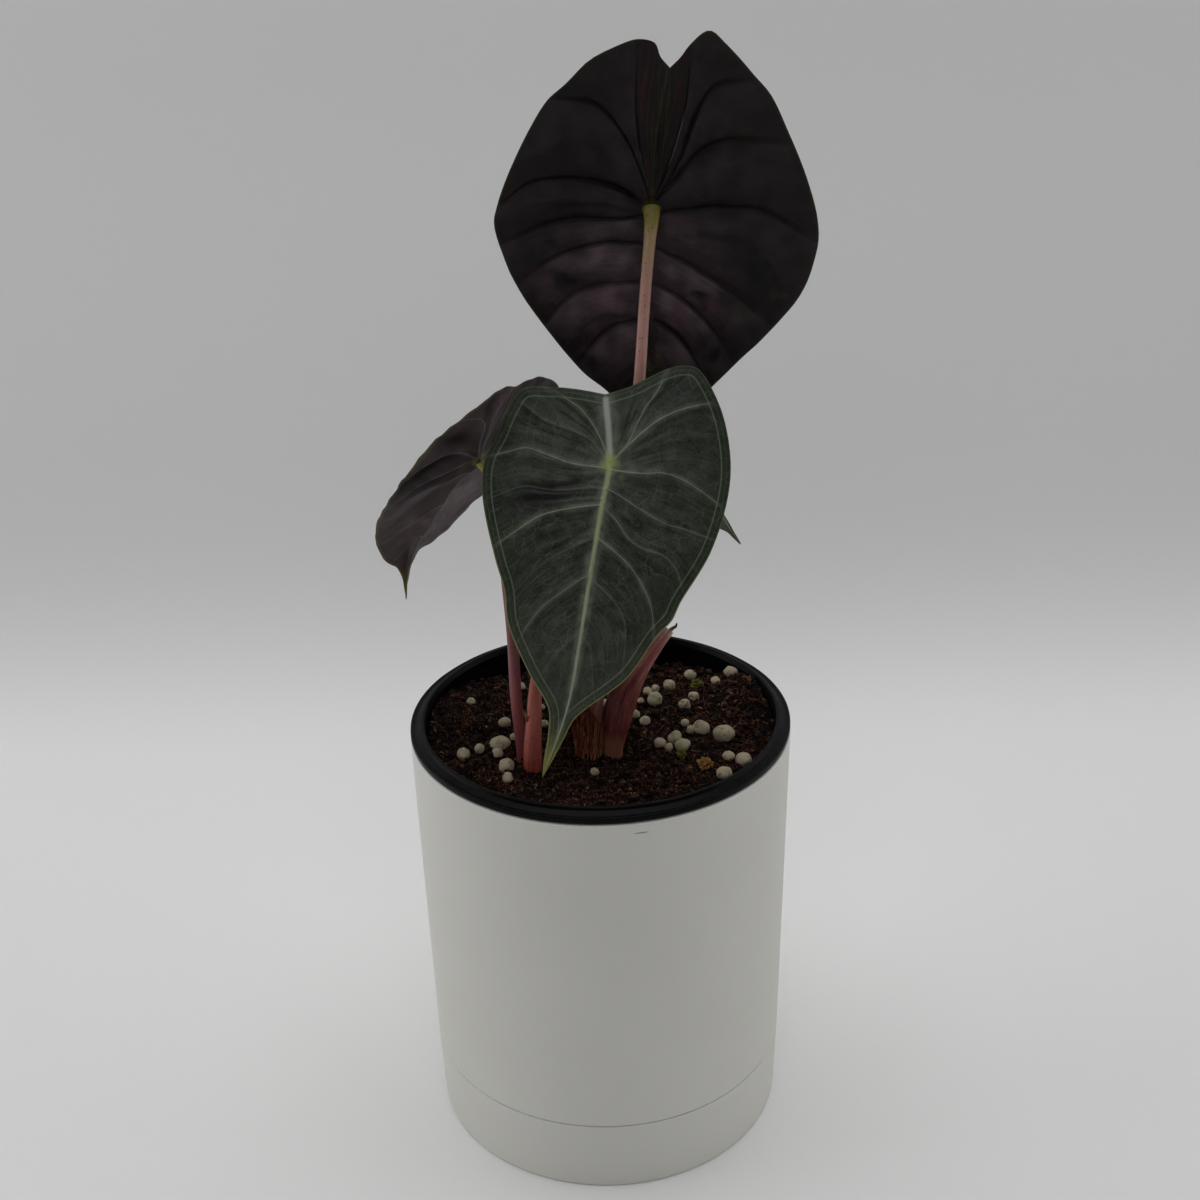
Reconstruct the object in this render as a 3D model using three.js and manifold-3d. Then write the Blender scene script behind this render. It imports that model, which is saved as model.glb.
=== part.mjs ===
import * as THREE from "three";
import { mergeVertices } from "three/addons/utils/BufferGeometryUtils.js";
import Module from "manifold-3d";

// A pink dragon alocasia in a black nursery pot, which hangs by its rim in a white
// cylinder planter on a flush saucer. Millimetres, +Z up, front of the plant towards -Y.
// The origin is the centre of the saucer's flat underside.

const wasm = await Module();
wasm.setup();

// Driving dimensions
const CLEARANCE = 0.3; // between pieces that touch
const ROUND_SIDES = 48; // facets round the pots
const BLADE_THICKNESS = 0.7;

const SAUCER_FOOT_RADIUS = 54.3;
const SEAM_RADIUS = 55.2;
const SEAM_HEIGHT = 24.2;
const SAUCER_FLOOR = 4;
const SAUCER_WALL = 3.2;

const PLANTER_TOP_RADIUS = 57.1;
const PLANTER_TOP_HEIGHT = 132.5;
const PLANTER_WALL = 3;
const PLANTER_FLOOR = 4;
const DRAIN_RADIUS = 6;

const POT_BASE_HEIGHT = 31;
const POT_BASE_RADIUS = 40;
const POT_WALL = 1;
const POT_NECK_RADIUS = 53.2; // outside of the wall just under the rim
const RIM_OUTER_RADIUS = 57;
const RIM_CREST_RADIUS = 53.3;
const RIM_TOP_HEIGHT = 136.3;
const POT_HOLE_RADIUS = 4;
const POT_HOLES = 6;

const SOIL_LEVEL = 131;
const STEM_FOOT_HEIGHT = 120.6;
const RHIZOME_TOP_HEIGHT = 120.3;
const RHIZOME_CENTRE = [-9, -15, 114];
const RHIZOME_RADII = [21, 10, 10];

// Colours of the pieces
const MATT_WHITE = { color: 0xb9b9b3, roughness: 0.7 };
const BLACK_PLASTIC = { color: 0x17181a, roughness: 0.45 };
const POTTING_MIX = { color: 0x2b1a12, roughness: 0.95 };
const RHIZOME_BROWN = { color: 0x6b4a38, roughness: 0.8 };
const UNDERSIDE_PURPLE = { color: 0x2a1c20, roughness: 0.5 };
const UPPER_GREEN = { color: 0x2b3a30, roughness: 0.45 };
const PALE_PURPLE = { color: 0x5a464b, roughness: 0.5 };
const DARK_GREEN = { color: 0x1e2e1e, roughness: 0.5 };
const STALK_PINK = { color: 0xa06c66, roughness: 0.5 };
const STALK_RED = { color: 0x8a3f42, roughness: 0.5 };
const DRY_BROWN = { color: 0x5c2f1d, roughness: 0.8 };

// The same random draws every time
function seededRandom(seed) {
  let state = seed;
  return () => {
    state = (state + 0x6d2b79f5) | 0;
    let t = Math.imul(state ^ (state >>> 15), 1 | state);
    t = (t + Math.imul(t ^ (t >>> 7), 61 | t)) ^ t;
    return ((t ^ (t >>> 14)) >>> 0) / 4294967296;
  };
}

function lerp(a, b, share) {
  return a + (b - a) * share;
}

// Solids that are joined and cut

function solidOf(geometry) {
  const bare = geometry.clone();
  bare.deleteAttribute("normal");
  bare.deleteAttribute("uv");
  const merged = mergeVertices(bare, 1e-4);
  return new wasm.Manifold(
    new wasm.Mesh({
      numProp: 3,
      vertProperties: merged.attributes.position.array,
      triVerts: new Uint32Array(merged.index.array),
    }),
  );
}

function geometryOf(solid) {
  const mesh = solid.getMesh();
  const geometry = new THREE.BufferGeometry();
  geometry.setAttribute("position", new THREE.BufferAttribute(mesh.vertProperties, 3));
  geometry.setIndex(new THREE.BufferAttribute(mesh.triVerts, 1));
  return geometry;
}

// A turned solid from [radius, height] pairs that go round its section
function turned(profile, sides = ROUND_SIDES) {
  const points = profile.map(([radius, height]) => new THREE.Vector2(radius, height));
  return new THREE.LatheGeometry(points, sides).rotateX(Math.PI / 2);
}

function uprightCylinder(x, y, bottom, top, radius, sides) {
  const cylinder = new THREE.CylinderGeometry(radius, radius, top - bottom, sides);
  return cylinder.rotateX(Math.PI / 2).translate(x, y, (bottom + top) / 2);
}

// Saucer: a flat-bottomed dish that the planter's foot stands in
function saucerGeometry() {
  const inside = SEAM_RADIUS - SAUCER_WALL;
  return turned([
    [0, 0],
    [SAUCER_FOOT_RADIUS - 1.2, 0],
    [SAUCER_FOOT_RADIUS - 0.35, 0.35],
    [SAUCER_FOOT_RADIUS, 1.2],
    [SEAM_RADIUS, SEAM_HEIGHT - 0.4],
    [SEAM_RADIUS - 0.4, SEAM_HEIGHT],
    [inside + 0.4, SEAM_HEIGHT],
    [inside, SEAM_HEIGHT - 0.4],
    [inside - 0.7, SAUCER_FLOOR + 1.5],
    [inside - 2.2, SAUCER_FLOOR],
    [0, SAUCER_FLOOR],
  ]);
}

// Planter: reduced foot inside the saucer, straight wall, drainage hole
function planterGeometry() {
  const footRadius = SEAM_RADIUS - SAUCER_WALL - 1;
  const footHeight = SAUCER_FLOOR + CLEARANCE;
  const shoulder = SEAM_HEIGHT + CLEARANCE;
  const floorTop = footHeight + PLANTER_FLOOR;
  const topInside = PLANTER_TOP_RADIUS - PLANTER_WALL;
  const footInside = footRadius - PLANTER_WALL;
  return turned([
    [DRAIN_RADIUS, footHeight],
    [footRadius - 2.5, footHeight],
    [footRadius - 0.8, footHeight + 1.6],
    [footRadius, shoulder - 0.4],
    [footRadius + 0.5, shoulder],
    [SEAM_RADIUS - 0.4, shoulder],
    [SEAM_RADIUS, shoulder + 0.4],
    [PLANTER_TOP_RADIUS, PLANTER_TOP_HEIGHT - 0.9],
    [PLANTER_TOP_RADIUS - 0.3, PLANTER_TOP_HEIGHT - 0.2],
    [PLANTER_TOP_RADIUS - 0.9, PLANTER_TOP_HEIGHT],
    [topInside + 0.4, PLANTER_TOP_HEIGHT],
    [topInside, PLANTER_TOP_HEIGHT - 0.4],
    [footInside + 2.2, shoulder + 6],
    [footInside, shoulder],
    [footInside - 0.5, floorTop + 2],
    [footInside - 2.5, floorTop],
    [DRAIN_RADIUS, floorTop],
    [DRAIN_RADIUS, footHeight],
  ]);
}

// Nursery pot: thin tapered wall, a crested rim that turns out over the planter's edge
function nurseryPotGeometry() {
  const floorTop = POT_BASE_HEIGHT + POT_WALL + 0.2;
  const restHeight = PLANTER_TOP_HEIGHT + CLEARANCE;
  const neckHeight = PLANTER_TOP_HEIGHT - 0.7;
  const shell = solidOf(
    turned([
      [0, POT_BASE_HEIGHT],
      [POT_BASE_RADIUS - 1, POT_BASE_HEIGHT],
      [POT_BASE_RADIUS, POT_BASE_HEIGHT + 1],
      [POT_NECK_RADIUS, neckHeight],
      [POT_NECK_RADIUS + 0.5, restHeight],
      [RIM_OUTER_RADIUS - 0.5, restHeight],
      [RIM_OUTER_RADIUS, restHeight + 0.6],
      [RIM_OUTER_RADIUS - 0.05, restHeight + 1.4],
      [RIM_OUTER_RADIUS - 0.6, restHeight + 2],
      [RIM_OUTER_RADIUS - 1.3, restHeight + 1.8],
      [RIM_CREST_RADIUS + 0.9, RIM_TOP_HEIGHT - 0.7],
      [RIM_CREST_RADIUS + 0.3, RIM_TOP_HEIGHT],
      [RIM_CREST_RADIUS - 0.4, RIM_TOP_HEIGHT - 0.1],
      [POT_NECK_RADIUS - POT_WALL, RIM_TOP_HEIGHT - 1.6],
      [POT_NECK_RADIUS - POT_WALL, neckHeight],
      [POT_BASE_RADIUS - POT_WALL, floorTop + 0.8],
      [POT_BASE_RADIUS - POT_WALL - 1, floorTop],
      [0, floorTop],
    ]),
  );
  let pot = shell;
  for (let i = 0; i < POT_HOLES; i++) {
    const angle = (2 * Math.PI * (i + 0.5)) / POT_HOLES;
    const reach = POT_BASE_RADIUS - 9;
    const x = reach * Math.cos(angle);
    const y = reach * Math.sin(angle);
    const hole = uprightCylinder(x, y, POT_BASE_HEIGHT - 5, floorTop + 5, POT_HOLE_RADIUS, 12);
    pot = pot.subtract(solidOf(hole));
  }
  return geometryOf(pot);
}

// Stalks. Each is a list of points from its foot in the soil to its end, with the radius
// at each point. The first two points are one above the other, so the foot is upright.

const STALKS = {
  tall_leaf_petiole: {
    path: [
      [-3.4, -13.7, STEM_FOOT_HEIGHT, 2.6],
      [-3.4, -13.7, 134, 2.5],
      [0.2, -12, 153.5, 2.1],
      [7.3, -8, 190, 1.8],
      [13, -1.5, 239, 1.6],
      [15.2, 2, 264.5, 1.55],
      [16.7, 3.6, 279, 1.6],
      [17.2, 4.8, 283.4, 1.9],
      [17.3, 6.2, 285.5, 2.1],
    ],
    material: STALK_PINK,
  },
  front_leaf_petiole: {
    path: [
      [-19.9, -21.4, STEM_FOOT_HEIGHT, 2.4],
      [-19.9, -21.4, 134, 2.4],
      [-19.2, -19.4, 144, 2.1],
      [-18, -15.8, 156, 1.8],
      [-10.5, -10, 180, 1.6],
      [-1.4, -6.8, 202.7, 1.5],
      [3.4, -8.6, 216, 1.5],
      [4.1, -11.6, 220, 1.7],
      [4.3, -14, 221.2, 1.9],
    ],
    material: STALK_RED,
  },
  left_leaf_petiole: {
    path: [
      [-23.2, -16.6, STEM_FOOT_HEIGHT, 1.6],
      [-23.2, -16.6, 134, 1.7],
      [-24.2, -15.2, 149, 1.7],
      [-24.6, -12, 168, 1.6],
      [-26.2, -7, 190, 1.4],
      [-27.6, -3.6, 206, 1.3],
      [-29.2, -1.6, 214, 1.4],
      [-30.9, -0.6, 217.3, 1.6],
    ],
    material: STALK_PINK,
  },
  rear_leaf_petiole: {
    path: [
      [2.6, -7.6, STEM_FOOT_HEIGHT, 1.7],
      [2.6, -7.6, 134, 1.6],
      [5, -5, 152, 1.4],
      [12.5, 3, 180, 1.2],
      [20.5, 10.5, 197, 1.1],
      [24, 13.6, 204.2, 1.2],
      [26.4, 13.9, 206.3, 1.3],
    ],
    material: STALK_PINK,
  },
};

// A closed tube of rings along a smooth path; section(share, angle) scales its radius
function sweptTube(path, sides, steps, section = () => 1) {
  const curve = new THREE.CatmullRomCurve3(
    path.map(([x, y, z]) => new THREE.Vector3(x, y, z)),
    false,
    "centripetal",
  );
  const positions = [];
  const faces = [];
  let across = new THREE.Vector3(1, 0, 0);
  for (let i = 0; i <= steps; i++) {
    const share = i / steps;
    const centre = curve.getPoint(share);
    const along = curve.getTangent(share);
    across = across.addScaledVector(along, -across.dot(along)).normalize();
    const behind = new THREE.Vector3().crossVectors(along, across);
    const place = share * (path.length - 1);
    const k = Math.min(Math.floor(place), path.length - 2);
    const radius = lerp(path[k][3], path[k + 1][3], place - k);
    for (let j = 0; j < sides; j++) {
      const angle = (2 * Math.PI * j) / sides;
      const reach = radius * section(share, angle);
      const point = centre
        .clone()
        .addScaledVector(across, reach * Math.cos(angle))
        .addScaledVector(behind, reach * Math.sin(angle));
      positions.push(point.x, point.y, point.z);
    }
  }
  const foot = curve.getPoint(0);
  const end = curve.getPoint(1);
  positions.push(foot.x, foot.y, foot.z, end.x, end.y, end.z);
  const footIndex = (steps + 1) * sides;
  for (let j = 0; j < sides; j++) {
    const next = (j + 1) % sides;
    for (let i = 0; i < steps; i++) {
      const a = i * sides;
      const b = a + sides;
      faces.push(a + j, a + next, b + next, a + j, b + next, b + j);
    }
    const last = steps * sides;
    faces.push(footIndex, next, j, footIndex + 1, last + j, last + next);
  }
  const geometry = new THREE.BufferGeometry();
  geometry.setAttribute("position", new THREE.Float32BufferAttribute(positions, 3));
  geometry.setIndex(faces);
  return geometry;
}

// Cut stub of an old petiole: an open, channelled sheath that widens, narrows and ends cut
const STUB_PATH = [
  [3.6, -16.4, STEM_FOOT_HEIGHT, 2.6],
  [3.6, -16.4, 133.5, 2.9],
  [4.9, -14.6, 141, 4.1],
  [7.4, -11.6, 149, 4.3],
  [12, -8.8, 155.3, 2.7],
  [18, -6.2, 162.4, 1.7],
  [20.8, -5, 165.6, 1.4],
];

function stubSection(share, angle) {
  const channel = Math.exp(-(((angle - 1.5 * Math.PI) / 0.5) ** 2));
  const flat = 1 - 0.35 * Math.sin(angle) ** 2;
  const open = THREE.MathUtils.smoothstep(share, 0.22, 0.45);
  return flat * (1 - 0.45 * channel * open);
}

// Dry papery sheaths: curved pointed scales that stand round a stalk
const SHEATHS = {
  dry_sheath_left: { centre: [-3.4, -13.7], radius: 3.6, from: 150, to: 292, height: 13.5 },
  dry_sheath_rear: { centre: [-3.4, -13.7], radius: 3.7, from: 10, to: 118, height: 10.5 },
};

function sheathGeometry({ centre, radius, from, to, height }) {
  const columns = 8;
  const rows = 5;
  const bottom = STEM_FOOT_HEIGHT + 4;
  const sheet = new Sheet();
  const at = (i, j) => {
    const share = i / columns;
    const rise = j / rows;
    const peak = 1 - 0.55 * Math.abs(2 * share - 1) ** 1.6;
    const angle = THREE.MathUtils.degToRad(lerp(from, to, share));
    const flare = radius + 0.9 * rise * rise + 0.25 * Math.sin(5 * share + 3 * rise) * rise;
    const top = SOIL_LEVEL + height * peak;
    return sheet.add(
      centre[0] + flare * Math.cos(angle),
      centre[1] + flare * Math.sin(angle),
      lerp(bottom, top, rise),
      BLADE_THICKNESS,
    );
  };
  for (let i = 0; i < columns; i++) {
    for (let j = 0; j < rows; j++) {
      sheet.quad(at(i, j), at(i + 1, j), at(i + 1, j + 1), at(i, j + 1));
    }
  }
  return sheet.thickened();
}

// A sheet of triangles through the middle of a blade, thickened alike to both faces
class Sheet {
  points = [];
  thickness = [];
  faces = [];
  seen = new Map();

  add(x, y, z, thickness) {
    const key = [x, y, z].map((value) => value.toFixed(3)).join();
    if (!this.seen.has(key)) {
      this.seen.set(key, this.points.length);
      this.points.push(new THREE.Vector3(x, y, z));
      this.thickness.push(thickness);
    }
    const index = this.seen.get(key);
    this.thickness[index] = Math.max(this.thickness[index], thickness);
    return index;
  }

  triangle(a, b, c) {
    if (a !== b && b !== c && c !== a) this.faces.push([a, b, c]);
  }

  quad(a, b, c, d) {
    this.triangle(a, b, c);
    this.triangle(a, c, d);
  }

  normals() {
    const normals = this.points.map(() => new THREE.Vector3());
    for (const [a, b, c] of this.faces) {
      const ab = this.points[b].clone().sub(this.points[a]);
      const ac = this.points[c].clone().sub(this.points[a]);
      const face = ab.cross(ac);
      for (const index of [a, b, c]) normals[index].add(face);
    }
    return normals.map((normal) => normal.normalize());
  }

  thickened() {
    const normals = this.normals();
    const count = this.points.length;
    const positions = [];
    this.points.forEach((point, i) => {
      const upper = point.clone().addScaledVector(normals[i], BLADE_THICKNESS / 2);
      positions.push(upper.x, upper.y, upper.z);
    });
    this.points.forEach((point, i) => {
      const reach = this.thickness[i] - BLADE_THICKNESS / 2;
      const lower = point.clone().addScaledVector(normals[i], -reach);
      positions.push(lower.x, lower.y, lower.z);
    });
    const index = [];
    const edges = new Set();
    for (const [a, b, c] of this.faces) {
      index.push(a, b, c, a + count, c + count, b + count);
      for (const [from, to] of [[a, b], [b, c], [c, a]]) edges.add(from + "," + to);
    }
    for (const edge of edges) {
      const [from, to] = edge.split(",").map(Number);
      if (edges.has(to + "," + from)) continue;
      index.push(from, from + count, to + count, from, to + count, to);
    }
    const geometry = new THREE.BufferGeometry();
    geometry.setAttribute("position", new THREE.Float32BufferAttribute(positions, 3));
    geometry.setIndex(index);
    return geometry;
  }
}

// Leaf blades. Each is drawn in its own frame: u across, v along the midrib towards the
// tip, h out of the upper side, with 0, 0, 0 where the petiole joins. The spine runs from
// the notch between the lobes to the tip, and so does each margin. The lateral veins leave
// the spine in pairs, at the v in veinStarts. Each passes through its [u, v] points and
// ends on the margin by its last one. The panels between them bulge to the underside.

const BLADES = {
  tall_leaf_blade: {
    origin: [17.3, 8, 286.1],
    tipward: [0, 0.309, -0.951],
    upward: [0, 0.951, 0.309],
    arch: 2,
    bulge: 1.7,
    funnel: 3,
    material: UNDERSIDE_PURPLE,
    spine: [
      [-4.5, -41, -2.5],
      [0, 0, 0],
      [1, 16, -0.5],
      [0.5, 38, -2],
      [-1, 60, -5],
      [-1, 74, -8.5],
      [-2, 88, -12.5],
    ],
    margins: [
      [
        [-4.5, -41, -2.5],
        [-7, -44, -3],
        [-9.5, -48, -3.5],
        [-14, -52, -4.5],
        [-18, -48.5, -4.5],
        [-24.5, -41, -4.5],
        [-30, -34, -4.5],
        [-35.5, -22.5, -4.5],
        [-40.5, -10.5, -5],
        [-44, 1.5, -6],
        [-44.5, 10.5, -6],
        [-40.5, 26, -6],
        [-29, 42.5, -5],
        [-17.5, 56, -5.5],
        [-8, 67, -7],
        [-4, 76, -9],
        [-2, 88, -12.5],
      ],
      [
        [-4.5, -41, -2.5],
        [-2, -44.5, -3],
        [-0.5, -48.5, -3.5],
        [3.5, -49.5, -3.5],
        [7.5, -48.5, -3.5],
        [15.5, -44.5, -3.5],
        [21.5, -38.5, -3.5],
        [27, -33.5, -4],
        [36.5, -16, -4.5],
        [41, -4.5, -5],
        [42, 0.5, -5.5],
        [38.5, 16.5, -5],
        [32.5, 30, -4.5],
        [20, 49.5, -5],
        [12, 58, -5.5],
        [4, 69, -7.5],
        [1, 78, -9.5],
        [-2, 88, -12.5],
      ],
    ],
    veinStarts: [0, 0, 0, 2, 11, 22.5, 34, 51],
    veins: [
      [
        [[-5.5, -16], [-8.5, -30], [-9.8, -48]],
        [[-7.6, -15], [-11.5, -28], [-16, -36.5], [-26, -39]],
        [[-7.5, -10.5], [-14.5, -19], [-24.5, -21.5], [-36, -21.5]],
        [[-8.5, 0], [-19, -1], [-30, -0.5], [-44.5, 8]],
        [[-8.5, 16], [-15.5, 20.5], [-24, 26.5], [-34, 36]],
        [[-8, 27.5], [-14.5, 34], [-24, 49]],
        [[-4.5, 37.5], [-9, 42], [-17, 57]],
        [[-4, 56], [-8.5, 66.5]],
      ],
      [
        [[2.6, -14], [4.2, -31], [3.5, -49.5]],
        [[4.5, -17], [10.5, -28.5], [16, -33], [25.5, -35]],
        [[8, -6], [15, -9.5], [25, -11], [33, -10], [41, -4.5]],
        [[9, 2.5], [20, 1.5], [31, 3], [41.3, 7]],
        [[9.5, 9.5], [17, 9.8], [26, 12], [37, 20]],
        [[13.5, 22.5], [21.5, 24.5], [30.5, 34]],
        [[11, 36], [22, 46.5]],
        [[6, 54], [10, 60.5]],
      ],
    ],
  },
  front_leaf_blade: {
    origin: [4.3, -16, 221.9],
    tipward: [-0.208, -0.398, -0.894],
    upward: [0, -0.914, 0.407],
    arch: 2,
    bulge: 0.9,
    funnel: 0.8,
    material: UPPER_GREEN,
    spine: [
      [-4.5, -18.5, -0.5],
      [0, 0, 0],
      [0, 11.5, 0],
      [0.3, 28, -1],
      [0.8, 48.5, -3],
      [1, 66.5, -5.5],
      [-0.5, 78.5, -7.5],
      [-2.5, 88.5, -9.5],
    ],
    margins: [
      [
        [-4.5, -18.5, -0.5],
        [-12.5, -18.5, -1],
        [-20, -17.8, -2],
        [-27, -16, -3],
        [-30, -9.5, -3.5],
        [-31.5, -3, -4],
        [-33.8, 5, -4.5],
        [-32.5, 15, -4.5],
        [-26, 31, -4],
        [-22, 39, -4],
        [-19.5, 47.5, -4],
        [-11, 60.5, -5],
        [-4.2, 69, -6],
        [-3, 76.5, -7],
        [-2.9, 83, -8.5],
        [-2.5, 88.5, -9.5],
      ],
      [
        [-4.5, -18.5, -0.5],
        [2, -22, -0.5],
        [10, -28, -1.5],
        [14, -30, -2],
        [17.5, -30.5, -2.5],
        [20, -29.5, -2.5],
        [27.5, -20, -3.5],
        [32.5, -7, -4.5],
        [33.5, 4, -4.5],
        [31.5, 19, -4.5],
        [26, 33.5, -4],
        [24.7, 38.5, -4],
        [21.5, 43.5, -4],
        [15.5, 56.5, -5],
        [5.5, 67.5, -5.5],
        [3, 71, -6],
        [1.5, 76, -7],
        [-0.5, 82.5, -8],
        [-2.5, 88.5, -9.5],
      ],
    ],
    veinStarts: [0, 0, 1.2, 6.5, 11, 20, 30.5, 46],
    veins: [
      [
        [[-4, -7], [-10.5, -13.5], [-21.5, -17.5]],
        [[-6, -5.5], [-12.5, -7.5], [-19.5, -9], [-30, -10.5]],
        [[-10, 1.5], [-16.5, 0.5], [-23, -0.5], [-33, 2.5]],
        [[-9, 8.8], [-22, 10], [-33, 14]],
        [[-9, 13.8], [-16, 17], [-21.5, 22], [-27.5, 29]],
        [[-8, 25.5], [-14.5, 31.5], [-21, 42]],
        [[-6, 36], [-11, 41.5], [-16.5, 53]],
        [[-4, 52], [-9, 63]],
      ],
      [
        [[4, -7], [5.5, -12.5], [9.5, -27.5]],
        [[7, -9.5], [10.5, -13.5], [15, -17.5], [25, -24]],
        [[10.5, 0.5], [14.5, -0.5], [19.5, 0], [33.5, 5]],
        [[9.5, 10], [18, 13], [32.3, 15]],
        [[8, 17.5], [17, 21.5], [28, 28]],
        [[7.5, 24], [11.5, 27], [16.5, 33], [20.8, 45]],
        [[7.5, 36], [12, 41.5], [14, 58.5]],
        [[4, 51], [8, 65]],
      ],
    ],
  },
  left_leaf_blade: {
    origin: [-32.2, 0, 218.5],
    tipward: [-0.494, 0.381, -0.781],
    upward: [-0.714, 0.334, 0.615],
    arch: 1.3,
    bulge: 1.3,
    funnel: 0.8,
    material: PALE_PURPLE,
    spine: [
      [-4.5, -24.5, 4],
      [0, 0, 0],
      [-1, 14.5, 2],
      [-2.5, 32.5, 2],
      [-3.5, 46, 1.5],
      [-5, 58.5, -1],
      [-5.5, 69, -6],
    ],
    margins: [
      [
        [-4.5, -24.5, 4],
        [-10, -25.5, 3],
        [-16, -24.5, 1.5],
        [-22.5, -20.5, -1.5],
        [-27, -12, -5],
        [-28, 0.5, -7.5],
        [-26, 15.5, -7],
        [-21.5, 30, -3],
        [-16, 47, -1.5],
        [-10.5, 57, 0.5],
        [-7.5, 64.5, -3],
        [-5.5, 69, -6],
      ],
      [
        [-4.5, -24.5, 4],
        [0, -25.5, 5.5],
        [4, -25, 6],
        [7.5, -23, 6.5],
        [13, -17, 8],
        [15.5, -7.5, 9.5],
        [17, 5.5, 10.5],
        [16, 19, 10.5],
        [13.5, 31, 11],
        [9, 43.5, 9],
        [2.5, 54, 4],
        [-2.5, 58, 1],
        [-4.5, 63, -2.5],
        [-5.5, 69, -6],
      ],
    ],
    veinStarts: [0, 0, 2, 11, 25, 41.5],
    veins: [
      [
        [[-5, -8], [-10, -15], [-15, -25]],
        [[-11, -4], [-20, -7], [-27.2, -9]],
        [[-10, 5], [-19, 9], [-27, 12]],
        [[-9, 18], [-21.5, 30]],
        [[-9, 33], [-16.5, 46]],
        [[-7, 48], [-11.5, 55.5]],
      ],
      [
        [[1, -9], [1, -17], [1, -25.5]],
        [[4, -7], [8, -12.5], [12.5, -18]],
        [[5.5, 3], [11, 7], [16.5, 16]],
        [[4.5, 15], [9.5, 22], [13, 32.5]],
        [[2, 31], [8, 45]],
        [[-2, 46], [1, 55.5]],
      ],
    ],
  },
  rear_leaf_blade: {
    origin: [28.4, 13.1, 207.3],
    tipward: [0.48, 0.32, -0.816],
    upward: [0.865, -0.326, 0.381],
    arch: 1.6,
    bulge: 0.6,
    funnel: 0.4,
    material: DARK_GREEN,
    spine: [
      [0, -9.5, -0.5],
      [0, 0, 0],
      [0, 11, 0],
      [0, 20, -0.5],
      [0, 27, -1],
      [0, 34, -1],
    ],
    margins: [
      [
        [0, -9.5, -0.5],
        [-3.5, -12.5, -1],
        [-8, -11.5, -1.5],
        [-10.8, -7, -2],
        [-11.5, 0, -2.5],
        [-10, 8, -2.5],
        [-6.5, 15.5, -2],
        [-3.5, 21.5, -1.5],
        [-2, 25.5, -1],
        [-1, 29.5, -1],
        [0, 34, -1],
      ],
      [
        [0, -9.5, -0.5],
        [3.5, -12.5, -1],
        [8, -11.5, -1.5],
        [10.8, -7, -2],
        [11.5, 0, -2.5],
        [10, 8, -2.5],
        [6.5, 15.5, -2],
        [3.5, 21.5, -1.5],
        [2, 25.5, -1],
        [1, 29.5, -1],
        [0, 34, -1],
      ],
    ],
    veinStarts: [0, 0.5, 4, 11.5],
    veins: [
      [
        [[-3.5, -5], [-7, -12]],
        [[-5, 0], [-11.5, 0]],
        [[-4.5, 7], [-9.5, 11]],
        [[-3, 14.5], [-5, 18.5]],
      ],
      [
        [[3.5, -5], [7, -12]],
        [[5, 0], [11.5, 0]],
        [[4.5, 7], [9.5, 11]],
        [[3, 14.5], [5, 18.5]],
      ],
    ],
  },
};

const ROWS_PER_PANEL = 3;
const COLUMNS = 8;
const RIB_HEIGHT = 0.9; // how far the midrib stands out of the underside at the petiole

function smoothCurve(points) {
  const vectors = points.map(([u, v, h = 0]) => new THREE.Vector3(u, v, h));
  return new THREE.CatmullRomCurve3(vectors, false, "centripetal");
}

// The share along a curve where measure(point) is least
function bestShare(curve, measure) {
  const samples = 800;
  let best = 0;
  let least = Infinity;
  for (let i = 0; i <= samples; i++) {
    const value = measure(curve.getPoint(i / samples));
    if (value < least) {
      least = value;
      best = i / samples;
    }
  }
  return best;
}

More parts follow.
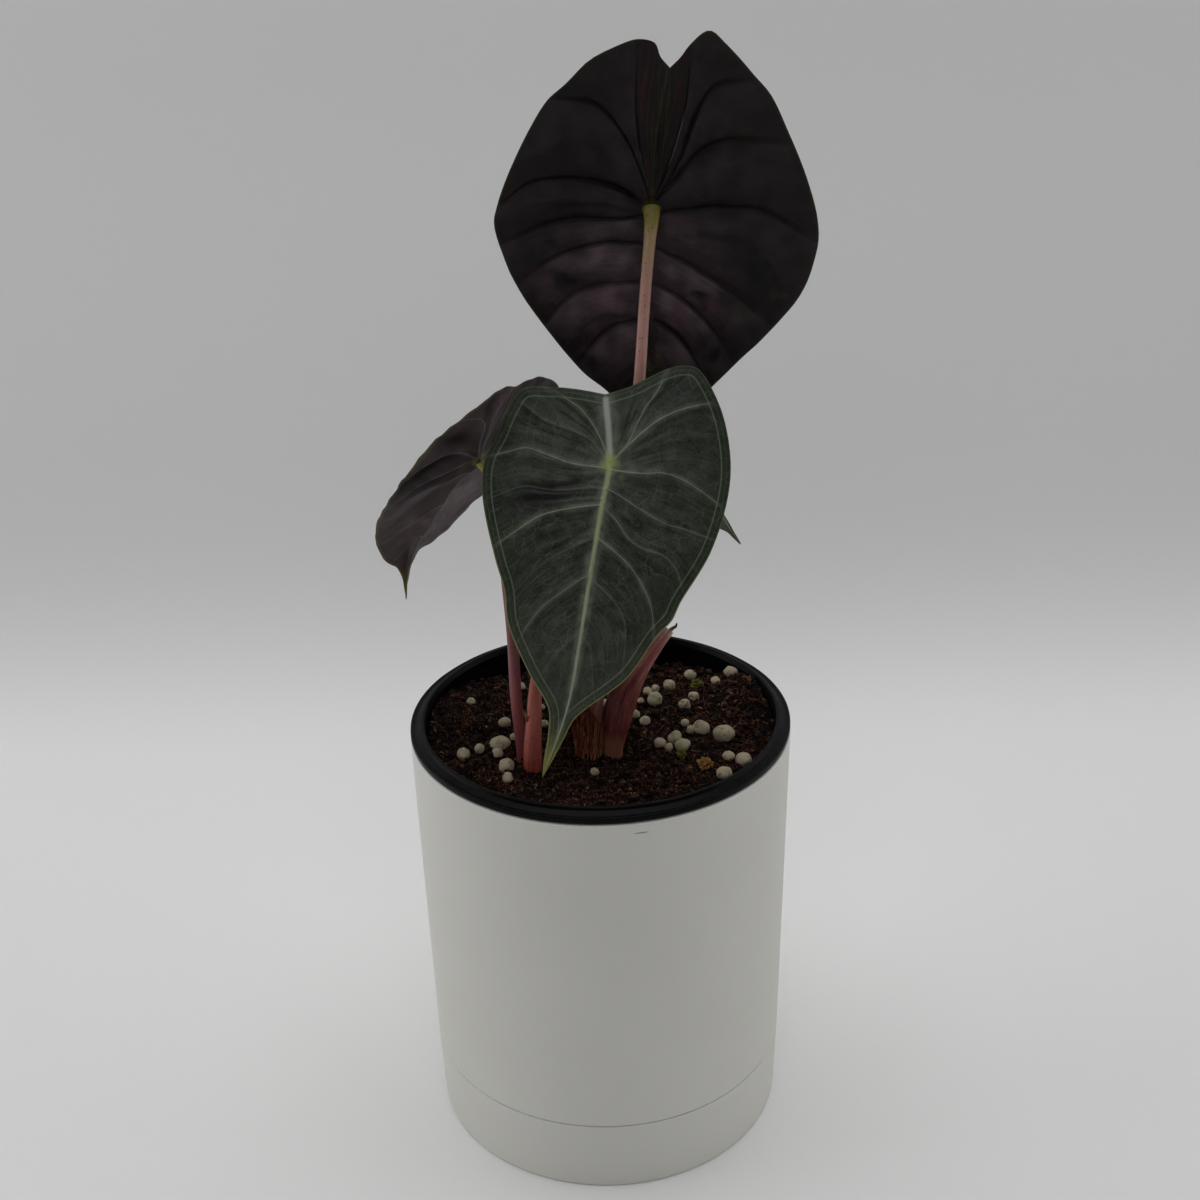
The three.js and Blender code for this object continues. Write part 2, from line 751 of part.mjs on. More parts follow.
function bladeGeometry(blade) {
  const spineCurve = smoothCurve(blade.spine);
  const tip = blade.spine[blade.spine.length - 1];
  const joinShare = bestShare(spineCurve, (point) => Math.hypot(point.x, point.y));
  const frame = new THREE.Matrix4();
  const tipward = new THREE.Vector3(...blade.tipward).normalize();
  const upward = new THREE.Vector3(...blade.upward);
  upward.addScaledVector(tipward, -upward.dot(tipward)).normalize();
  frame.makeBasis(new THREE.Vector3().crossVectors(upward, tipward), tipward, upward);
  frame.setPosition(...blade.origin);

  const sheet = new Sheet();
  const bladeLength = tip[1];
  blade.margins.forEach((marginPoints, side) => {
    const margin = smoothCurve(marginPoints);
    const lines = blade.veins[side].map((vein, k) => {
      const from = blade.veinStarts[k];
      const to = vein[vein.length - 1];
      const start = bestShare(spineCurve, (point) =>
        from === 0 ? Math.hypot(point.x, point.y) : Math.abs(point.y - from),
      );
      const end = bestShare(margin, (point) => Math.hypot(point.x - to[0], point.y - to[1]));
      const first = spineCurve.getPoint(start);
      const last = margin.getPoint(end);
      const path = smoothCurve([[first.x, first.y], ...vein.slice(0, -1), [last.x, last.y]]);
      return { start, end, path };
    });
    const notch = blade.spine[0];
    const notchLine = smoothCurve([[0, 0], [notch[0] / 2, notch[1] / 2], [notch[0], notch[1]]]);
    const tipLine = smoothCurve([[tip[0], tip[1]], [tip[0], tip[1]]]);
    lines.unshift({ start: joinShare, end: 0, path: notchLine });
    lines.push({ start: 1, end: 1, path: tipLine });

    const pointAt = (panel, across, along) => {
      const a = lines[panel];
      const b = lines[panel + 1];
      const start = spineCurve.getPoint(lerp(a.start, b.start, across));
      const end = margin.getPoint(lerp(a.end, b.end, across));
      const blend = (share) => {
        return a.path.getPoint(share).lerp(b.path.getPoint(share), across);
      };
      const point = blend(along);
      point.addScaledVector(start.clone().setZ(0).sub(blend(0)), 1 - along);
      point.addScaledVector(end.clone().setZ(0).sub(blend(1)), along);
      point.z = lerp(start.z, end.z, along ** blade.arch);
      const swell = Math.sqrt(Math.max(0, 1 - (2 * across - 1) ** 2));
      const fade = Math.sin(Math.PI * along ** 0.75) * THREE.MathUtils.smoothstep(along, 0, 0.3);
      const towardTip = Math.max(0, point.y) / bladeLength;
      const swellHeight = panel === 0 ? blade.funnel : -blade.bulge * (1 - 0.6 * towardTip);
      return point.setZ(point.z + swellHeight * swell * fade);
    };

    const indexAt = (panel, row, column) => {
      const along = (column / COLUMNS) ** 0.9;
      const point = pointAt(panel, row / ROWS_PER_PANEL, along);
      const nearTip = Math.max(0, point.y) / bladeLength;
      const rib = column === 0 ? RIB_HEIGHT * (1 - nearTip) : 0;
      point.applyMatrix4(frame);
      return sheet.add(point.x, point.y, point.z, BLADE_THICKNESS + rib);
    };

    for (let panel = 0; panel < lines.length - 1; panel++) {
      for (let row = 0; row < ROWS_PER_PANEL; row++) {
        for (let column = 0; column < COLUMNS; column++) {
          const a = indexAt(panel, row, column);
          const b = indexAt(panel, row, column + 1);
          const c = indexAt(panel, row + 1, column + 1);
          const d = indexAt(panel, row + 1, column);
          if (side === 1) sheet.quad(a, b, c, d);
          else sheet.quad(a, d, c, b);
        }
      }
    }
  });
  return sheet.thickened();
}

// Soil: a tapered plug with a lumpy top, perlite grains and a plain hole for each stalk

// Grains that show between the stalks: x, y, diameter
const PERLITE = [
  [17, 14, 5.1],
  [22, 24, 4.2],
  [29, 15, 3.6],
  [26, 10, 3.9],
  [15, 19.5, 3],
  [17.5, 21.5, 2.7],
  [12.5, 14, 2.4],
  [10.5, 3, 3],
  [13.5, -1, 3.6],
  [41.5, 28, 4.2],
  [25.5, -1, 2.7],
  [27, -5, 2.7],
  [30, -5, 4.8],
  [22, -10.5, 4.5],
  [17.5, -12.5, 3.6],
  [20, -15, 2.7],
  [24, -14.5, 4.2],
  [36.5, -9.5, 6],
  [37, -21.5, 3.6],
  [41, -24.5, 4.8],
  [35, -31.5, 4.8],
  [29.5, -26, 3.6],
  [-40.5, -15, 4.2],
  [-36, -11.5, 3.3],
  [-30, -9.5, 5.4],
  [-30.5, -14.5, 3.6],
  [-29, 2.5, 3.6],
  [-26, -5, 2.4],
  [-27.5, -22.5, 4.8],
  [-27, -29.5, 3.6],
  [-17, 2, 2.7],
  [-18, 12.5, 2.4],
  [-2, -27.5, 2.7],
];
const HIDDEN_GRAINS = 12;
const GRAIN_SINK = 0.22; // share of a grain's diameter below the soil's surface

const soilRandom = seededRandom(7);
const LUMPS = Array.from({ length: 26 }, () => ({
  angle: soilRandom() * 2 * Math.PI,
  reach: Math.sqrt(soilRandom()) * 48,
  width: 3.5 + soilRandom() * 5,
  height: (soilRandom() - 0.4) * 2.4,
}));

// The soil lies low at the back and is heaped against the wall at the left and the right
const HEAPS = [
  { x: -50, y: 14, width: 20, height: 4 },
  { x: 50, y: 22, width: 12, height: 4.5 },
];

function soilHeight(x, y) {
  let height = SOIL_LEVEL + 0.022 * x - 0.0017 * Math.max(0, y) ** 2;
  for (const heap of HEAPS) {
    const away = Math.hypot(x - heap.x, y - heap.y);
    height += heap.height * Math.exp(-((away / heap.width) ** 2));
  }
  for (const lump of LUMPS) {
    const away = Math.hypot(
      x - lump.reach * Math.cos(lump.angle),
      y - lump.reach * Math.sin(lump.angle),
    );
    height += lump.height * Math.exp(-((away / lump.width) ** 2));
  }
  return height;
}

function soilGeometry() {
  const rings = 8;
  const sectors = 36;
  const wallSlope = (POT_NECK_RADIUS - POT_BASE_RADIUS) / (PLANTER_TOP_HEIGHT - POT_BASE_HEIGHT);
  const bottom = POT_BASE_HEIGHT + POT_WALL + 0.2 + CLEARANCE;
  const bottomRadius = POT_BASE_RADIUS - POT_WALL - 1.2 - CLEARANCE;
  const topRadius = POT_NECK_RADIUS - POT_WALL - 0.4 - CLEARANCE - 2 * wallSlope;
  const positions = [0, 0, soilHeight(0, 0)];
  const faces = [];
  for (let ring = 1; ring <= rings; ring++) {
    for (let sector = 0; sector < sectors; sector++) {
      const angle = (2 * Math.PI * sector) / sectors;
      const x = topRadius * (ring / rings) * Math.cos(angle);
      const y = topRadius * (ring / rings) * Math.sin(angle);
      positions.push(x, y, soilHeight(x, y));
    }
  }
  for (let sector = 0; sector < sectors; sector++) {
    const angle = (2 * Math.PI * sector) / sectors;
    positions.push(bottomRadius * Math.cos(angle), bottomRadius * Math.sin(angle), bottom);
  }
  positions.push(0, 0, bottom);
  const centreBottom = positions.length / 3 - 1;
  for (let sector = 0; sector < sectors; sector++) {
    const next = (sector + 1) % sectors;
    faces.push(0, 1 + sector, 1 + next);
    for (let ring = 0; ring < rings; ring++) {
      const inner = 1 + ring * sectors;
      const outer = inner + sectors;
      faces.push(inner + sector, outer + sector, outer + next);
      faces.push(inner + sector, outer + next, inner + next);
    }
    const base = 1 + rings * sectors;
    faces.push(centreBottom, base + next, base + sector);
  }
  const geometry = new THREE.BufferGeometry();
  geometry.setAttribute("position", new THREE.Float32BufferAttribute(positions, 3));
  geometry.setIndex(faces);
  let soil = solidOf(geometry);

  const grains = PERLITE.map((grain) => [...grain]);
  while (grains.length < PERLITE.length + HIDDEN_GRAINS) {
    const x = (soilRandom() - 0.5) * 80;
    const y = 8 + soilRandom() * 32;
    const size = 2.4 + soilRandom() * 2.4;
    const crowded = grains.some(([gx, gy]) => Math.hypot(gx - x, gy - y) < 6);
    if (Math.hypot(x, y) < 44 && !crowded) grains.push([x, y, size]);
  }
  for (const [x, y, size] of grains) {
    const grain = new THREE.IcosahedronGeometry(size / 2, 0);
    grain.rotateZ(soilRandom() * 6).rotateX(soilRandom() * 6).scale(1.05, 1, 0.9);
    grain.translate(x, y, soilHeight(x, y) + size * (0.5 - GRAIN_SINK));
    soil = soil.add(solidOf(grain));
  }

  for (const [x, y, radius] of STEM_HOLES) {
    const hole = uprightCylinder(x, y, STEM_FOOT_HEIGHT - 2, SOIL_LEVEL + 12, radius, 16);
    soil = soil.subtract(solidOf(hole));
  }
  soil = soil.subtract(solidOf(rhizomeShape(CLEARANCE)));
  const largest = soil.decompose().sort((a, b) => b.volume() - a.volume())[0];
  return geometryOf(largest);
}

// Rhizome: the short underground stem, levelled where the stalks grow from it
function rhizomeShape(margin) {
  const ball = new THREE.SphereGeometry(1, 20, 12);
  const [a, b, c] = RHIZOME_RADII;
  ball.scale(a + margin, b + margin, c + margin).translate(...RHIZOME_CENTRE);
  const slab = new THREE.BoxGeometry(80, 80, 40);
  slab.translate(RHIZOME_CENTRE[0], RHIZOME_CENTRE[1], RHIZOME_TOP_HEIGHT + margin + 20);
  return geometryOf(solidOf(ball).subtract(solidOf(slab)));
}

// Plain round holes in the soil: x, y, radius
const STEM_HOLES = [
  ...Object.values(STALKS).map(({ path }) => path[0]),
  STUB_PATH[0],
].map(([x, y, , radius]) => [x, y, radius + CLEARANCE + 0.15]);
for (const { centre, radius } of Object.values(SHEATHS)) {
  STEM_HOLES.push([...centre, radius + BLADE_THICKNESS + 2 * CLEARANCE]);
}

// The plant in its pots

function piece(name, geometry, finish) {
  geometry.computeVertexNormals();
  const mesh = new THREE.Mesh(geometry, new THREE.MeshStandardMaterial(finish));
  mesh.name = name;
  return mesh;
}

const pots = new THREE.Group();
pots.add(
  piece("saucer", saucerGeometry(), MATT_WHITE),
  piece("planter", planterGeometry(), MATT_WHITE),
  piece("nursery_pot", nurseryPotGeometry(), BLACK_PLASTIC),
  piece("soil", soilGeometry(), POTTING_MIX),
);

const plant = new THREE.Group();
plant.add(piece("rhizome", rhizomeShape(0), RHIZOME_BROWN));
for (const [name, stalk] of Object.entries(STALKS)) {
  plant.add(piece(name, sweptTube(stalk.path, 10, 22), stalk.material));
}
plant.add(piece("cut_stub", sweptTube(STUB_PATH, 14, 14, stubSection), STALK_RED));
for (const [name, sheath] of Object.entries(SHEATHS)) {
  plant.add(piece(name, sheathGeometry(sheath), DRY_BROWN));
}
for (const [name, blade] of Object.entries(BLADES)) {
  plant.add(piece(name, bladeGeometry(blade), blade.material));
}

const alocasia = new THREE.Group();
alocasia.add(pots, plant);

export default alocasia;
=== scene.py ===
import math
import random

import bmesh
import bpy
import numpy as np
from mathutils import Matrix, Vector, noise


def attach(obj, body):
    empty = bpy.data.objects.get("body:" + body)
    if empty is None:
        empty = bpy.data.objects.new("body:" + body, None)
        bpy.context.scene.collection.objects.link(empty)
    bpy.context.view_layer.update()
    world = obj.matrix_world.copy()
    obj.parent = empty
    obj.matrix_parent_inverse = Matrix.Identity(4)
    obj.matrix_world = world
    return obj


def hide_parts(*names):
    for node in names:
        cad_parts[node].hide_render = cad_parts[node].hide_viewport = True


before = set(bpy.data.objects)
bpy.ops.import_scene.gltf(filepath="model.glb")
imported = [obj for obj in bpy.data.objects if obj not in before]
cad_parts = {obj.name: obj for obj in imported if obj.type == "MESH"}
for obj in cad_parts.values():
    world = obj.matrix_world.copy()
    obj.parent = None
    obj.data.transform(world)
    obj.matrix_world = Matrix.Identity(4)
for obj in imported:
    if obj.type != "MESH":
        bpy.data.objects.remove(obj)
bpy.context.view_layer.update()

# Saucer: the planter's own drip dish, injection-moulded in matt off-white polypropylene.
# Its wall stands flush with the planter above, whose foot rests loose inside it.

MM = 0.001
TURNED_SIDES = 240
CORNER_STEPS = 6

SAUCER_FOOT_RADIUS = 54.3
SEAM_RADIUS = 55.2
SEAM_HEIGHT = 24.2
SAUCER_FLOOR = 4.0
SAUCER_WALL = 3.2


def linear(colour):
    """An sRGB hex colour as linear RGBA."""
    channels = [int(colour[i : i + 2], 16) / 255 for i in (1, 3, 5)]
    return (*(c / 12.92 if c <= 0.04045 else ((c + 0.055) / 1.055) ** 2.4 for c in channels), 1.0)


def feed(tree, node, inputs):
    """Gives each input of a node a value, or the output of another node, by default its first in use.
    inputs maps names or numbers of inputs to them, or lists them from the first input on. A map range
    takes its value, then where it starts and ends, and what it gives there."""
    for name, value in inputs.items() if isinstance(inputs, dict) else enumerate(inputs):
        if isinstance(value, bpy.types.Node):
            value = next(output for output in value.outputs if output.enabled)
        if isinstance(value, bpy.types.NodeSocket):
            tree.links.new(value, node.inputs[name])
        else:
            node.inputs[name].default_value = value


def add(tree, kind, inputs=None, **settings):
    """Adds a shader node with its settings and inputs."""
    made = tree.nodes.new("ShaderNode" + kind)
    for name, value in settings.items():
        setattr(made, name, value)
    feed(tree, made, inputs or {})
    return made


def new_material(name):
    """A material with one Principled shader, and its node tree."""
    material = bpy.data.materials.new(name)
    material.use_nodes = True
    tree = material.node_tree
    tree.nodes.clear()
    shader = add(tree, "BsdfPrincipled")
    add(tree, "OutputMaterial", {"Surface": shader})
    return material, tree, shader


def mesh_piece(name, points, faces, materials, attributes=None, finishes=None):
    """A smooth-shaded mesh from points in millimetres. attributes hold one value for each point."""
    mesh = bpy.data.meshes.new(name)
    mesh.from_pydata((np.asarray(points, float) * MM).tolist(), [], faces)
    mesh.polygons.foreach_set("use_smooth", [True] * len(mesh.polygons))
    for material in materials:
        mesh.materials.append(material)
    if finishes is not None:
        mesh.polygons.foreach_set("material_index", finishes)
    for key, values in (attributes or {}).items():
        values = np.asarray(values, np.float32)
        single = values.ndim == 1
        layer = mesh.attributes.new(key, "FLOAT" if single else "FLOAT_VECTOR", "POINT")
        layer.data.foreach_set("value" if single else "vector", values.ravel())
    made = bpy.data.objects.new(name, mesh)
    bpy.context.scene.collection.objects.link(made)
    return made


def rounded(profile):
    """Rounds the corners of a closed section, given as [radius, height, corner radius]."""
    points = []
    count = len(profile)
    for i, (radius, height, corner) in enumerate(profile):
        here = Vector((radius, height))
        to_last = Vector(profile[i - 1][:2]) - here
        to_next = Vector(profile[(i + 1) % count][:2]) - here
        if not corner or to_last.length < 1e-6 or to_next.length < 1e-6:
            points.append(here)
            continue
        half = to_last.angle(to_next) / 2
        back = min(corner / math.tan(half), to_last.length * 0.45, to_next.length * 0.45)
        start = here + to_last.normalized() * back
        end = here + to_next.normalized() * back
        ease = 0.35 * back
        if to_last.length > 4 * back:
            points.append(start + to_last.normalized() * ease)
        for step in range(CORNER_STEPS + 1):
            t = step / CORNER_STEPS
            points.append(start.lerp(here, t).lerp(here.lerp(end, t), t))
        if to_next.length > 4 * back:
            points.append(end + to_next.normalized() * ease)
    return points


def turned(profile, closed=True, sides=TURNED_SIDES):
    """Points, faces and skin places in mm of a section turned about the upright axis."""
    section = rounded(profile)
    run = np.cumsum([0] + [(b - a).length for a, b in zip(section, section[1:])])
    points = []
    places = []
    index = []
    for k, point in enumerate(section):
        if point.x < 1e-6:
            index.append([len(points)] * sides)
            points.append((0, 0, point.y))
            places.append((0, run[k], 0))
            continue
        index.append(list(range(len(points), len(points) + sides)))
        for i in range(sides):
            angle = 2 * math.pi * i / sides
            points.append((point.x * math.cos(angle), point.x * math.sin(angle), point.y))
            places.append((point.x * math.cos(angle), point.x * math.sin(angle), run[k]))
    faces = []
    rows = list(zip(index, index[1:])) + ([(index[-1], index[0])] if closed else [])
    for a, b in rows:
        for i in range(sides):
            j = (i + 1) % sides
            corners = []
            for corner in (a[i], a[j], b[j], b[i]):
                if corner not in corners:
                    corners.append(corner)
            if len(corners) > 2:
                faces.append(corners)
    return points, faces, places


def matt_polypropylene():
    """Off-white polypropylene from an eroded mould: a soft, even, nearly matt skin of fine grain, which
    spreads each light into a wide, weak sheen. Its tone drifts a little, as thick moulded walls do."""
    material, tree, shader = new_material("matt_white_polypropylene")
    # the real grain is about 0.05 mm, and it is drawn coarser so that it shows
    grain_mm = 0.35
    cloud_mm = 38
    # one rubbed dash where something dark brushed the front, just under the pot's rim
    scuff_mm = (10.4, -56, 129.4)
    scuff_squeeze = (0.26, 0.3, 2.6)
    scuff_reach_mm = 1.0
    scuff_rag_mm = 1.1
    place = add(tree, "TexCoord").outputs["Object"]
    grain = add(tree, "TexNoise", {"Vector": place, "Scale": 1 / (grain_mm * MM), "Detail": 3.0})
    cloud = add(tree, "TexNoise", {"Vector": place, "Scale": 1 / (cloud_mm * MM), "Detail": 4.0})
    tone = add(tree, "Mix", {0: cloud, 6: linear("#DAD9D2"), 7: linear("#E2E1DB")}, data_type="RGBA")
    away = add(tree, "VectorMath", (place, tuple(Vector(scuff_mm) * MM)), operation="SUBTRACT")
    flat = add(tree, "VectorMath", (away, scuff_squeeze), operation="MULTIPLY")
    ragged = add(tree, "TexNoise", {"Vector": place, "Scale": 1 / (scuff_rag_mm * MM), "Detail": 2.0})
    reach = add(tree, "VectorMath", (flat,), operation="LENGTH")
    torn = add(tree, "Math", (ragged, 0.6 * MM, reach), operation="MULTIPLY_ADD")
    rubbed = add(tree, "MapRange", (torn, 0.65 * MM, scuff_reach_mm * MM, 0.7, 0.0))
    colour = add(tree, "Mix", {0: rubbed, 6: tone, 7: linear("#4A4844")}, data_type="RGBA")
    bump = add(tree, "Bump", {"Height": grain, "Strength": 0.25, "Distance": 0.03 * MM})
    feed(tree, shader, {"Base Color": colour, "Roughness": 0.62, "IOR": 1.49, "Normal": bump})
    return material


white_plastic = matt_polypropylene()
inside = SEAM_RADIUS - SAUCER_WALL
points, faces, places = turned(
    [
        [0, 0, 0],
        [SAUCER_FOOT_RADIUS, 0, 1.1],
        [SEAM_RADIUS, SEAM_HEIGHT, 0.35],
        [inside, SEAM_HEIGHT, 0.5],
        [inside - 0.8, SAUCER_FLOOR, 2.2],
        [0, SAUCER_FLOOR, 0],
    ],
    closed=False,
)
saucer = mesh_piece("saucer_moulding", points, faces, [white_plastic], {"skin_mm": places})
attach(saucer, "root")
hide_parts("saucer")

# Planter: a plain cylinder moulded in the same matt white plastic as its saucer. Its reduced foot
# stands in the saucer with a hairline seam between them, and its floor has one drainage hole.

PLANTER_TOP_RADIUS = 57.1
PLANTER_TOP_HEIGHT = 132.5
PLANTER_WALL = 3.0
PLANTER_FLOOR = 4.0
DRAIN_RADIUS = 6.0
SEAM_GAP = 0.3

foot_radius = inside - 1
foot_height = SAUCER_FLOOR + SEAM_GAP
shoulder = SEAM_HEIGHT + SEAM_GAP
floor_top = foot_height + PLANTER_FLOOR
points, faces, places = turned(
    [
        [DRAIN_RADIUS, foot_height, 0.4],
        [foot_radius - 0.8, foot_height, 1.8],
        [foot_radius, shoulder, 0.4],
        [SEAM_RADIUS, shoulder, 0.35],
        [PLANTER_TOP_RADIUS, PLANTER_TOP_HEIGHT, 0.8],
        [PLANTER_TOP_RADIUS - PLANTER_WALL, PLANTER_TOP_HEIGHT, 0.4],
        [foot_radius - PLANTER_WALL + 2.2, shoulder + 6, 3],
        [foot_radius - PLANTER_WALL, shoulder, 2],
        [foot_radius - PLANTER_WALL - 0.4, floor_top, 2.4],
        [DRAIN_RADIUS, floor_top, 0.4],
    ]
)
planter = mesh_piece("planter_moulding", points, faces, [white_plastic], {"skin_mm": places})
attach(planter, "root")
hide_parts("planter")

# Nursery pot: a thin thermoformed pot of black polypropylene, hung in the planter by its rim.
# The rim has a raised crest inside, a groove and a rolled outer bead. Its floor has six drain holes.

POT_BASE_HEIGHT = 31.0
POT_BASE_RADIUS = 40.0
POT_WALL = 1.0
POT_NECK_RADIUS = 53.2
RIM_OUTER_RADIUS = 57.0
RIM_CREST_RADIUS = 53.3
RIM_TOP_HEIGHT = 136.3
POT_HOLE_RADIUS = 4.0
POT_HOLES = 6
HOLE_INSET = 9.0
RIM_WANDERS = [(0.12, 3, 0.6), (0.07, 7, 0.0), (0.04, 17, 0.0)]

pot_floor_top = POT_BASE_HEIGHT + POT_WALL + 0.2
rest_height = PLANTER_TOP_HEIGHT + SEAM_GAP
points, faces, places = turned(
    [
        [0, POT_BASE_HEIGHT, 0],
        [POT_BASE_RADIUS, POT_BASE_HEIGHT, 1],
        [POT_NECK_RADIUS, PLANTER_TOP_HEIGHT - 0.7, 0.6],
        [POT_NECK_RADIUS + 0.6, rest_height, 0.3],
        [RIM_OUTER_RADIUS, rest_height, 0.6],
        [RIM_OUTER_RADIUS, rest_height + 2.1, 0.8],
        [RIM_OUTER_RADIUS - 1.4, rest_height + 1.7, 0.5],
        [RIM_CREST_RADIUS + 0.8, RIM_TOP_HEIGHT - 0.9, 0.5],
        [RIM_CREST_RADIUS + 0.45, RIM_TOP_HEIGHT, 0.45],
        [RIM_CREST_RADIUS - 0.45, RIM_TOP_HEIGHT, 0.45],
        [POT_NECK_RADIUS - POT_WALL, RIM_TOP_HEIGHT - 1.6, 0.6],
        [POT_NECK_RADIUS - POT_WALL, PLANTER_TOP_HEIGHT - 0.7, 1.2],
        [POT_BASE_RADIUS - POT_WALL, pot_floor_top, 1],
        [0, pot_floor_top, 0],
    ],
    closed=False,
)
# thin plastic is never quite round: the rim wanders by a fraction of a millimetre
rim_points = []
for x, y, z in points:
    angle = math.atan2(y, x)
    wander = sum(size * math.sin(waves * angle + start) for size, waves, start in RIM_WANDERS)
    share = max(0.0, (z - rest_height) / (RIM_TOP_HEIGHT - rest_height))
    rim_points.append((x, y, z + wander * share))


def black_polypropylene():
    """Black thermoformed polypropylene: a satin skin with fine drag lines round it, and potting dust that
    stays in its texture, makes the upward faces a little grey and dulls their shine."""
    material, tree, shader = new_material("black_thermoformed_polypropylene")
    drag_across_mm = 0.25
    dust_mm = 2.2
    skin = add(tree, "Attribute", attribute_name="skin_mm").outputs["Vector"]
    place = add(tree, "TexCoord").outputs["Object"]
    parts = add(tree, "SeparateXYZ", (skin,))
    drag = add(
        tree,
        "TexNoise",
        {"W": parts.outputs[2], "Scale": 1 / drag_across_mm, "Detail": 3.0},
        noise_dimensions="1D",
    )
    dust = add(
        tree, "TexNoise", {"Vector": place, "Scale": 1 / (dust_mm * MM), "Detail": 6.0, "Roughness": 0.7}
    )
    upward = add(tree, "SeparateXYZ", (add(tree, "NewGeometry").outputs["Normal"],))
    lies = add(tree, "MapRange", (upward.outputs[2], 0.3, 1.0, 0.0, 0.12))
    patchy = add(tree, "MapRange", (dust, 0.42, 0.72, 0.0, 1.0))
    dusty = add(tree, "Math", (lies, patchy), operation="MULTIPLY")
    colour = add(tree, "Mix", {0: dusty, 6: linear("#050507"), 7: linear("#46433F")}, data_type="RGBA")
    rough = add(tree, "MapRange", (dusty, 0.0, 0.2, 0.36, 0.6))
    height = add(tree, "Math", (drag, dust), operation="ADD")
    bump = add(tree, "Bump", {"Height": height, "Strength": 0.3, "Distance": 0.05 * MM})
    feed(tree, shader, {
        "Base Color": colour, "Roughness": rough, "IOR": 1.49, "Specular IOR Level": 0.08, "Normal": bump,
    })
    return material


pot = mesh_piece("nursery_pot_forming", rim_points, faces, [black_polypropylene()], {"skin_mm": places})
punch = bmesh.new()
for i in range(POT_HOLES):
    angle = 2 * math.pi * (i + 0.5) / POT_HOLES
    reach = (POT_BASE_RADIUS - HOLE_INSET) * MM
    centre = Matrix.Translation((reach * math.cos(angle), reach * math.sin(angle), POT_BASE_HEIGHT * MM))
    bmesh.ops.create_cone(
        punch,
        cap_ends=True,
        segments=32,
        radius1=POT_HOLE_RADIUS * MM,
        radius2=POT_HOLE_RADIUS * MM,
        depth=10 * MM,
        matrix=centre,
    )
punch_mesh = bpy.data.meshes.new("hole_punch")
punch.to_mesh(punch_mesh)
punch.free()
punch_tool = bpy.data.objects.new("hole_punch", punch_mesh)
bpy.context.scene.collection.objects.link(punch_tool)
cut = pot.modifiers.new("drain_holes", "BOOLEAN")
cut.operation = "DIFFERENCE"
cut.object = punch_tool
cut.solver = "EXACT"
bpy.context.view_layer.update()
punched = bpy.data.meshes.new_from_object(pot.evaluated_get(bpy.context.evaluated_depsgraph_get()))
pot.modifiers.clear()
pot.data = punched
bpy.data.objects.remove(punch_tool)
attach(pot, "root")
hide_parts("nursery_pot")

# Potting mix: dark peat and bark fines with red-brown crumbs, watered and settled a few millimetres
# below the rim. It lies low at the back and is heaped against the wall at the left and the right.

SOIL_LEVEL = 131.0
SOIL_RINGS = 130
SOIL_SECTORS = 480
HEAPS = [(-50, 14, 20, 4.0), (50, 22, 12, 4.5)]  # x, y, width and rise
LUMPS = 26


def seeded_random(seed):
    """The same draws as the plain soil solid uses, so that both have the same lumps."""
    state = seed
    keep = 0xFFFFFFFF
    while True:
        state = (state + 0x6D2B79F5) & keep
        t = (state ^ (state >> 15)) * (1 | state) & keep
        t = (t + ((t ^ (t >> 7)) * (61 | t) & keep)) & keep ^ t
        yield ((t ^ (t >> 14)) & keep) / 4294967296


soil_draws = seeded_random(7)
lumps = []
for _ in range(LUMPS):
    angle = next(soil_draws) * 2 * math.pi
    reach = math.sqrt(next(soil_draws)) * 48
    width = 3.5 + next(soil_draws) * 5
    lumps.append((reach * math.cos(angle), reach * math.sin(angle), width, (next(soil_draws) - 0.4) * 2.4))


def soil_height(x, y):
    """The settled surface without its crumbs, in mm, as the plain soil solid has it."""
    height = SOIL_LEVEL + 0.022 * x - 0.0017 * max(0.0, y) ** 2
    for cx, cy, width, rise in HEAPS + lumps:
        height += rise * math.exp(-((x - cx) ** 2 + (y - cy) ** 2) / width**2)
    return height


def crumbed_height(x, y):
    """The surface with clods of about 4 mm and crumbs of 1 to 2 mm."""
    place = Vector((x, y, 0))
    clods = noise.noise(place * 0.17) * 1.8
    crumbs = (0.5 - noise.voronoi(place * 0.42)[0][0]) * 2.0
    grit = (0.4 - noise.voronoi(place * 1.0)[0][0]) * 1.1
    return soil_height(x, y) - 0.5 + clods + crumbs + grit + 0.35 * noise.noise(place * 2.1)


wall_radius = POT_NECK_RADIUS - POT_WALL - 0.05
points = [(0, 0, crumbed_height(0, 0))]
for ring in range(1, SOIL_RINGS + 1):
    reach = wall_radius * ring / SOIL_RINGS
    for sector in range(SOIL_SECTORS):
        angle = 2 * math.pi * sector / SOIL_SECTORS
        x, y = reach * math.cos(angle), reach * math.sin(angle)
        points.append((x, y, crumbed_height(x, y)))
soil_bottom = pot_floor_top + SEAM_GAP
for sector in range(SOIL_SECTORS):
    angle = 2 * math.pi * sector / SOIL_SECTORS
    reach = POT_BASE_RADIUS - POT_WALL - 1.5
    points.append((reach * math.cos(angle), reach * math.sin(angle), soil_bottom))
points.append((0, 0, soil_bottom))
faces = []
for sector in range(SOIL_SECTORS):
    following = (sector + 1) % SOIL_SECTORS
    faces.append((0, 1 + sector, 1 + following))
    for ring in range(SOIL_RINGS):
        inner = 1 + ring * SOIL_SECTORS
        outer = inner + SOIL_SECTORS
        faces.append((inner + sector, outer + sector, outer + following, inner + following))
    base = 1 + SOIL_RINGS * SOIL_SECTORS
    faces.append((len(points) - 1, base + following, base + sector))


